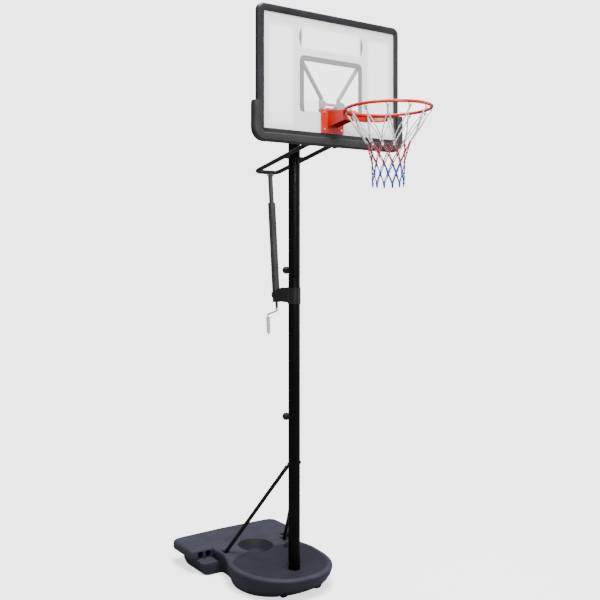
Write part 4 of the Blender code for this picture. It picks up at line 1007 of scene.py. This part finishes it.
KEPT = (  # finish, width of the rounded edges, nodes
    ("dark_bolt", 0.0004, """brace_pole_bolt pole_foot_bolt lower_board_bolt upper_board_bolt lower_pole_bolt
        upper_pole_bolt brace_foot_screw_left brace_foot_screw_right jack_pivot_stub_left
        jack_pivot_stub_right"""),
    ("zinc", 0.0004, """jack_head_bolt jack_nut wheel_axle rim_bolt_lower_left rim_bolt_lower_right
        rim_bolt_upper_left rim_bolt_upper_right"""),
    ("black_plastic", 0.0004, """lower_spacer_left lower_spacer_right upper_spacer_left upper_spacer_right
        jack_guide_bush"""),
    ("jack", 0.0005, "jack_outer_tube jack_inner_tube jack_end_block jack_screw"),
    ("bracket", 0.0005, "jack_pole_bracket"),
    ("arm", 0.0006, "board_bracket"),
    ("rim", 0.0009, "rim_bracket"),
    ("y_brace", 0.0005, "y_brace_tie"),
    ("clear", 0.0004, "board_panel"),
)


def kept_nodes():
    """CAD nodes whose shape is already right: each gets its finish and rounded edges."""
    for finish, edge, nodes in KEPT:
        for node in nodes.split():
            dress(node, finish, edge)


# ---------------------------------------------------------------- board


def board_loop(inset):
    """Across and height round the board's outline, this far inside it."""
    radius = max(BOARD_CORNER - inset, 0.004)
    half = BOARD_HALF - inset
    low, high = BOARD_BOTTOM + inset, BOARD_TOP - inset
    loop = []
    for quarter, (x, z) in enumerate(((half, high), (-half, high), (-half, low), (half, low))):
        centre_x = x - math.copysign(radius, x)
        centre_z = z - radius if quarter < 2 else z + radius
        loop += along_arc((centre_x, centre_z), radius, 90 * quarter, 90 * quarter + 90, 12)
    return loop


def board_frame():
    """A rolled channel: a broad flat face between two bevels, with a fine groove inside each."""
    lip = PANEL_FRONT + 0.0003
    face, width = BOARD_FACE, FRAME_WIDTH
    bevel, groove = face - 0.0004, face - 0.0017
    profile = [
        (0.0, BOARD_BACK), (0.0, face - 0.0085), (0.0085, bevel), (0.0110, bevel),
        (0.0122, groove), (0.0134, face), (width - 0.0134, face),
        (width - 0.0122, groove), (width - 0.0110, bevel), (width - 0.0095, bevel),
        (width, face - 0.0042), (width, lip), (0.005, lip), (0.005, BOARD_BACK),
    ]
    mesh_data = bmesh.new()
    rings = []
    for inset, forward in flat_fillet(profile, 0.0009, 3):
        rings.append([mesh_data.verts.new(at(x, forward, z)) for x, z in board_loop(inset)])
    skin(mesh_data, rings, closed=True)
    make("board_frame_channel", mesh_data, "frame", "board", ["board_frame"])


def board_pad():
    """A foam channel over the bottom edge and both lower corners, crowned, with rounded ends."""
    _, (back, _), (_, top) = span("board_pad")
    lip, proud = 0.019, 0.033
    front, skin_depth = BOARD_FACE + 0.0003, 0.010
    outer = front + skin_depth
    channel = [
        (-lip, front), (-lip, front + skin_depth * 0.6), (-lip + 0.007, outer),
        (0.006, outer + 0.0012), (proud - 0.009, outer), (proud, outer - 0.012),
        (proud + 0.0006, (front + back) / 2), (proud, back + 0.012), (proud - 0.009, back),
        (-0.010, back), (-0.010, back + 0.0097), (0.0003, back + 0.0097), (0.0003, front),
    ]
    outline = flat_fillet(channel, 0.006, 4)
    corner_x, corner_z = BOARD_HALF - BOARD_CORNER, BOARD_BOTTOM + BOARD_CORNER
    path = []
    rise = top - corner_z
    for k in range(13):
        path.append((-1, 0.0, rise * (1 - k / 12), 0.0))
    path += [(-1, math.radians(90 * k / 14), 0.0, 0.0) for k in range(1, 15)]
    path += [(-1, math.radians(90), 0.0, 2 * corner_x * k / 60) for k in range(1, 60)]
    path += [(1, math.radians(90 * k / 14), 0.0, 0.0) for k in range(14, -1, -1)]
    path += [(1, 0.0, rise * k / 12, 0.0) for k in range(1, 13)]
    mesh_data = bmesh.new()
    rings = []
    last = len(path) - 1
    for i, (side, angle, lift, shift) in enumerate(path):
        x = side * corner_x + shift
        ring = []
        for out, forward in outline:
            reach = BOARD_CORNER + out
            height = corner_z + lift - reach * math.sin(angle)
            ring.append(at(x + side * reach * math.cos(angle), forward, height))
        centre = sum(ring, Vector()) / len(ring)
        shrink = 0.90 if i in (0, last) else 0.97 if i in (1, last - 1) else 1.0
        for k, place in enumerate(ring):
            wave = noise.noise(place * 22.0) * 0.0007
            out_of_board = outline[k][0] > 0.004 or outline[k][1] > front + 0.004
            place = centre + (place - centre) * shrink
            if out_of_board:
                place += (place - centre).normalized() * wave
            ring[k] = mesh_data.verts.new(place)
        rings.append(ring)
    skin(mesh_data, rings)
    pad = make("board_pad_foam", mesh_data, "foam", "board", ["board_pad"], smooth=50)


def print_sheet():
    """The print on the panel's back, open inside the target so that the panel is clear there."""
    near, far = PANEL_BACK - 0.0001, PANEL_BACK - 0.00028
    inner, top = TARGET_HALF - TARGET_BAND * 0.5, TARGET_TOP - TARGET_BAND * 0.5
    right = [(WINDOW_NECK, WINDOW_BOTTOM), (WINDOW_NECK, WINDOW_SHOULDER),
             (inner, WINDOW_SHOULDER), (inner, top)]
    window = right + [(-x, z) for x, z in reversed(right)]
    mesh_data = bmesh.new()
    loops = []
    for depth in (near, far):
        edges = []
        for loop in (board_loop(0.006), flat_fillet(window, 0.008, 6)):
            ring = [mesh_data.verts.new(at(x, depth, z)) for x, z in loop]
            edges += [mesh_data.edges.new(pair) for pair in zip(ring, ring[1:] + ring[:1])]
            loops.append(ring)
        bmesh.ops.triangle_fill(mesh_data, edges=edges, use_beauty=True)
    for front, rear in zip(loops[:2], loops[2:]):
        skin(mesh_data, [front, rear], capped=False)
    make("board_print_sheet", mesh_data, "print", "board", smooth=30)


def band(mesh_data, path, half, forward, thickness):
    """A flat band on the board along a path of across and height, with square ends."""
    left, right = [], []
    for i, (x, z) in enumerate(path):
        ahead, behind = path[min(i + 1, len(path) - 1)], path[max(i - 1, 0)]
        along = Vector((ahead[0] - behind[0], ahead[1] - behind[1])).normalized()
        width = half(i / (len(path) - 1)) if callable(half) else half
        left.append((x - along.y * width, z + along.x * width))
        right.append((x + along.y * width, z - along.x * width))
    rings = []
    for depth in (forward, forward - thickness):
        rings.append([[mesh_data.verts.new(at(x, depth, z)) for x, z in side] for side in (left, right)])
    (near_left, near_right), (far_left, far_right) = rings
    for i in range(len(path) - 1):
        j = i + 1
        mesh_data.faces.new((near_left[i], near_left[j], near_right[j], near_right[i]))
        mesh_data.faces.new((far_left[i], far_right[i], far_right[j], far_left[j]))
        mesh_data.faces.new((near_left[i], far_left[i], far_left[j], near_left[j]))
        mesh_data.faces.new((near_right[i], near_right[j], far_right[j], far_right[i]))
    for i in (0, -1):
        mesh_data.faces.new((near_left[i], near_right[i], far_right[i], far_left[i]))


def target():
    """The grey target, open at the bottom, and the two crescents beside the top block."""
    half, high = TARGET_HALF - TARGET_BAND / 2, TARGET_TOP - TARGET_BAND / 2
    left = [(-half + 0.020, TARGET_BOTTOM), (-half, TARGET_BOTTOM), (-half, high)]
    corners = left + [(-x, z) for x, z in reversed(left)]
    path = fillet([Vector((x, z, 0)) for x, z in corners], 0.018, 8)
    mesh_data = bmesh.new()
    front, thickness = PANEL_BACK - 0.00004, 0.0003
    band(mesh_data, [(point.x, point.y) for point in path], TARGET_BAND / 2, front, thickness)
    for side in (-1, 1):
        arc = []
        for i in range(21):
            rise = i / 10 - 1
            bow = 1 - rise**2
            arc.append((side * (0.2345 + 0.0065 * bow), CRESCENT_MIDDLE + CRESCENT_HALF * rise))
        band(mesh_data, arc, lambda t: 0.0016 + 0.0078 * math.sin(math.pi * t), front, thickness)
    make("board_target_print", mesh_data, "target", "board", smooth=30)


def y_braces():
    """Bent tubes behind the panel, from the rim's bolts out to the top rail."""
    _, (back, front), _ = span("y_brace_left")
    forward = (back + front) / 2
    for word, side in SIDES:
        corners = [at(side * 0.066, forward, 2.905), at(side * 0.066, forward, 3.118),
                   at(side * 0.385, forward, 3.560), at(side * 0.385, forward, BOARD_TOP - 0.0053)]
        mesh_data = bmesh.new()
        path = evenly(fillet(corners, 0.035, 10), 0.03)
        sweep(mesh_data, path, circle((front - back) / 2, 28), FORWARD)
        make(f"y_brace_{word}_tube", mesh_data, "y_brace", "board", [f"y_brace_{word}"])


# ---------------------------------------------------------------- rim and net


def round_the_rim(angle, radius, drop=0.0):
    return RIM_CENTRE + spoke(angle) * radius - UP * drop


def hook_angle(i):
    return 2 * math.pi * (i + 0.5) / HOOKS


def rim_ring():
    """The ring with its twelve welded wire hooks."""
    mesh_data = bmesh.new()
    around = [round_the_rim(2 * math.pi * i / 160, RIM_RADIUS) for i in range(160)]
    sweep(mesh_data, around, circle(RIM_ROD, 28), UP, closed=True)
    for i in range(HOOKS):
        angle = hook_angle(i)
        outward = spoke(angle)
        along = UP.cross(outward)
        foot = RIM_CENTRE + outward * (RIM_RADIUS - 0.002) - UP * (RIM_ROD - 0.003)
        corners = [foot - along * 0.0075 + UP * 0.003, foot - along * 0.0085 - UP * 0.0150,
                   foot + along * 0.0085 - UP * 0.0150, foot + along * 0.0080 - UP * 0.0060]
        sweep(mesh_data, fillet(corners, 0.0078, 8), circle(0.0022, 12), outward, ends=0.8)
        for k in range(4):
            bead = foot - along * (0.0100 - 0.0014 * k) - UP * (0.0025 - 0.0003 * k)
            ball(mesh_data, bead, 0.0022, 0.9, along, 8)
    make("rim_ring_rod", mesh_data, "rim", "board", ["rim_ring"], smooth=50)


def rim_strap():
    """The curved plate under the ring's board side, deepest at the neck, with its welds."""
    mesh_data = bmesh.new()
    steps = 64
    rings = []
    centre = Vector((RIM_CENTRE.x, RIM_CENTRE.y, span("rim_strap")[2][1]))
    for i in range(steps + 1):
        t = 2 * i / steps - 1
        outward = spoke(math.pi / 2 + STRAP_REACH * t)
        deep = STRAP_DEPTH * math.sqrt(1 - 0.97 * abs(t) ** 6)
        box = [(STRAP_NEAR, 0), (STRAP_NEAR, -deep), (STRAP_FAR, -deep), (STRAP_FAR, 0)]
        places = [centre + outward * (RIM_RADIUS + r) + UP * h for r, h in flat_fillet(box, 0.0012, 3)]
        rings.append([mesh_data.verts.new(place) for place in places])
    skin(mesh_data, rings)
    for i in range(6, steps - 4, 4):  # the welds between the strap and the ring
        angle = math.pi / 2 + STRAP_REACH * (2 * i / steps - 1)
        for k in range(4):
            turn = angle + math.radians(1.1 * k)
            ball(mesh_data, round_the_rim(turn, RIM_RADIUS + 0.0098, 0.0060), 0.0024, 0.9, UP, 8)
    make("rim_strap_band", mesh_data, "rim", "board", ["rim_strap"], smooth=50)


NET_RADII = (  # depth below the net's top, radius
    (0.0, 0.221), (0.059, 0.180), (0.124, 0.141), (0.170, 0.117),
    (0.225, 0.099), (0.279, 0.089), (0.340, 0.085), (0.407, 0.087),
)
NET_ROWS = (0.157, 0.218, 0.272, 0.332, 0.388)  # depths of the rows of knots
CORD_RADIUS, CORD_LOBES, CORD_POINTS = 0.0036, 3, 15


def net_radius(drop):
    """The net's radius at a depth below its top."""
    for (low, narrow), (high, wide) in zip(NET_RADII, NET_RADII[1:]):
        if drop <= high:
            t = (drop - low) / (high - low)
            return narrow + (wide - narrow) * t
    return NET_RADII[-1][1]


def net_point(angle, drop, push=0.0):
    """A place on the net's wall, or pushed out from it."""
    foot = Vector((RIM_CENTRE.x, RIM_CENTRE.y, NET_TOP - drop))
    return foot + spoke(angle) * (net_radius(drop) + push)


def twisted():
    """The outline of a laid cord: rounded lobes, which turn along it."""
    outline = []
    for i in range(CORD_POINTS):
        angle = 2 * math.pi * i / CORD_POINTS
        reach = CORD_RADIUS * (1 + 0.20 * math.cos(CORD_LOBES * angle))
        outline.append((reach * math.cos(angle), reach * math.sin(angle)))
    return outline


CORD = twisted()
LAY = 2 * math.pi / 0.014  # a full turn of the cord's lay every 14 mm


def strand(mesh_data, start, end, bow, index):
    """One cord from knot to knot, following the net's wall, with a small slack curve of its own."""
    (angle_a, drop_a), (angle_b, drop_b) = start, end
    steps = max(6, int((drop_b - drop_a) / 0.004))
    path = []
    for k in range(steps + 1):
        t = k / steps
        wander = 0.0016 * math.sin(math.pi * t) * math.sin(index * 2.4 + 5 * t)
        angle = angle_a + (angle_b - angle_a) * t + wander / 0.1
        path.append(net_point(angle, drop_a + (drop_b - drop_a) * t, bow * math.sin(math.pi * t) + wander))
    sweep(mesh_data, path, CORD, ACROSS, spin=LAY)


def knot(mesh_data, angle, drop, size=0.0058):
    """An overhand knot, as two crossed turns of cord round its middle."""
    middle = net_point(angle, drop)
    outward = spoke(angle)
    along = UP.cross(outward)
    for lean in (0.55, -0.55):
        axis = (UP + along * lean).normalized()
        first = (outward - axis * outward.dot(axis)).normalized()
        second = axis.cross(first)
        ring = []
        for i in range(16):
            turn = 2 * math.pi * i / 16
            rise = axis * (0.0013 * math.sin(2 * turn))
            ring.append(middle + (first * math.cos(turn) + second * math.sin(turn)) * size * 0.72 + rise)
        sweep(mesh_data, ring, circle(0.0025, 8), axis, closed=True)
    ball(mesh_data, middle, size * 0.8, 1.1, UP, 10)


def net_loop(mesh_data, i):
    """A cord from one knot of the first row up over a hook and down to the next."""
    hook, step = hook_angle(i), 2 * math.pi / HOOKS
    inward = spoke(hook)
    along = UP.cross(inward)
    top = round_the_rim(hook, RIM_RADIUS - 0.002, RIM_ROD + 0.0085)
    turns = [math.radians(-130 + 26 * k) for k in range(11)]
    loop = [top + along * 0.0045 * math.sin(t) + UP * (0.0045 * math.cos(t) - 0.004) for t in turns]
    ends = []
    for side, start in ((-1, loop[0]), (1, loop[-1])):
        goal = hook + side * step / 2
        path = [start]
        for k in range(1, 41):
            t = k / 40
            drop = 0.014 + (NET_ROWS[0] - 0.014) * t
            spread = ease(t) * 0.35 + t * 0.65
            wave = 0.0014 * math.sin(i * 1.7 + side + 6 * t) * math.sin(math.pi * t)
            angle = hook + (goal - hook) * spread + wave / 0.15
            path.append(net_point(angle, drop, 0.006 * math.sin(math.pi * t) + wave))
        ends.append(path)
    sweep(mesh_data, [*reversed(ends[0]), *loop[1:-1], *ends[1]], CORD, inward, spin=LAY)
    ball(mesh_data, net_point(hook, 0.010), 0.0040, 1.5, UP, 10)
    knot(mesh_data, hook + step / 2, NET_ROWS[0])


def net():
    """Twelve loops hang from the hooks, and below them the cords cross in diamonds down to free tips."""
    step = 2 * math.pi / HOOKS
    white, red, blue = bmesh.new(), bmesh.new(), bmesh.new()
    tail = NET_TOP - NET_BOTTOM - NET_ROWS[-1] - 0.001
    for i in range(HOOKS):
        net_loop(white, i)
        hook = hook_angle(i)
        for row, (top, bottom, mesh_data) in enumerate(zip(NET_ROWS, NET_ROWS[1:], (red, red, blue, blue))):
            start, knot_angle = (hook + step / 2, hook) if row % 2 == 0 else (hook, hook + step / 2)
            for side in (-1, 1):
                end = (start + side * step / 2, bottom)
                strand(mesh_data, (start, top), end, 0.0015, i * 7 + row * 3 + side)
            if row < 3:
                knot(mesh_data, knot_angle, bottom)
        tip = hook + step / 2
        knot(blue, tip, NET_ROWS[-1], 0.0062)
        for side in (-1, 1):  # the two ends left hanging below the last knot
            path = [net_point(tip + side * 0.035 * k / 6, NET_ROWS[-1] + tail * k / 6) for k in range(7)]
            sweep(blue, path, CORD, ACROSS, spin=LAY, ends=0.7)
    make("net_cords_white", white, "cord_white", "board", ["net"], smooth=80)
    make("net_cords_red", red, "cord_red", "board", smooth=80)
    make("net_cords_blue", blue, "cord_blue", "board", smooth=80)


# ---------------------------------------------------------------- studio


SURROUND_LIGHT = 0.50
SURROUND_SEEN = 4.6
FLOOR_LIFT = 1.4  # what the camera sees of the floor, brought up to the surround behind it
LIGHTS = (  # name, place, aim, size, power, spread in degrees
    ("top_light", (-0.6, -1.4, 9.0), (0.0, 0.0, 0.0), (4.0, 4.0), 2300.0, 180),
    ("board_light", (-1.6, -5.2, 4.1), (0.0, -0.4, 3.25), (1.8, 1.8), 66.0, 60),
    ("side_light", (4.0, -2.4, 2.6), (0.0, 0.0, 1.8), (1.6, 3.2), 60.0, 120),
)


def studio_floor():
    """A pale floor that fades out into the surround."""
    mesh_data = bmesh.new()
    mesh_data.faces.new([mesh_data.verts.new((x, y, -0.0002)) for x, y in circle(4.2, 96)])
    mesh = bpy.data.meshes.new("studio_floor")
    mesh_data.to_mesh(mesh)
    mesh_data.free()
    floor = linked("studio_floor", mesh)
    s = Shading("studio_floor")
    seen = s.add("ShaderNodeLightPath").outputs["Is Camera Ray"]
    s.put(s.shader, "Emission Strength", s.math("MULTIPLY", seen, FLOOR_LIFT))
    s.put(s.shader, "Alpha", s.ramp(s.vector("LENGTH", s.place, result="Value"), 0.9, 3.6, 1.0, 0.0))
    shade = s.mix(seen, (0.28, 0.28, 0.285), (0.88, 0.88, 0.885))
    s.finish(shade, 0.85, Specular_IOR_Level=0.1, Emission_Color=(1.0, 1.0, 1.0, 1.0))
    mesh.materials.append(s.material)


def studio_surround():
    """A white surround: bright behind the object, and softer as a light."""
    world = bpy.data.worlds.new("studio_surround")
    bpy.context.scene.world = world
    world.use_nodes = True
    nodes, links = world.node_tree.nodes, world.node_tree.links
    glow = nodes["Background"]
    glow.inputs["Color"].default_value = (1.0, 1.0, 1.0, 1.0)
    glow.inputs["Strength"].default_value = SURROUND_LIGHT
    white = nodes.new("ShaderNodeBackground")
    white.inputs["Strength"].default_value = SURROUND_SEEN
    path = nodes.new("ShaderNodeLightPath")
    mix = nodes.new("ShaderNodeMixShader")
    links.new(path.outputs["Is Camera Ray"], mix.inputs["Fac"])
    links.new(glow.outputs[0], mix.inputs[1])
    links.new(white.outputs[0], mix.inputs[2])
    links.new(mix.outputs[0], nodes["World Output"].inputs["Surface"])


def studio_lights():
    for name, place, aim, size, power, spread in LIGHTS:
        lamp = bpy.data.lights.new(name, "AREA")
        lamp.shape = "RECTANGLE"
        lamp.size, lamp.size_y = size
        lamp.energy = power
        lamp.spread = math.radians(spread)
        holder = linked(name, lamp)
        holder.location = place
        holder.rotation_euler = (Vector(aim) - Vector(place)).to_track_quat("-Z", "Y").to_euler()


def studio_camera():
    lens = bpy.data.cameras.new("photo_camera")
    lens.lens, lens.sensor_width = 48.0, 36.0
    lens.shift_x, lens.shift_y = 0.1667, -0.080
    lens.clip_end = 100.0
    camera = linked("photo_camera", lens)
    camera.location = (-3.207, -4.114, 2.190)
    camera.rotation_euler = (math.radians(90), 0, math.radians(-31.22))
    bpy.context.scene.camera = camera


# ---------------------------------------------------------------- the whole

base()
wheels()
filler_cap()
pole()
pole_knobs()
braces()
lower_arm()
upper_arms()
crank()
kept_nodes()
board_frame()
board_pad()
print_sheet()
target()
y_braces()
rim_ring()
rim_strap()
net()
studio_floor()
studio_surround()
studio_lights()
studio_camera()
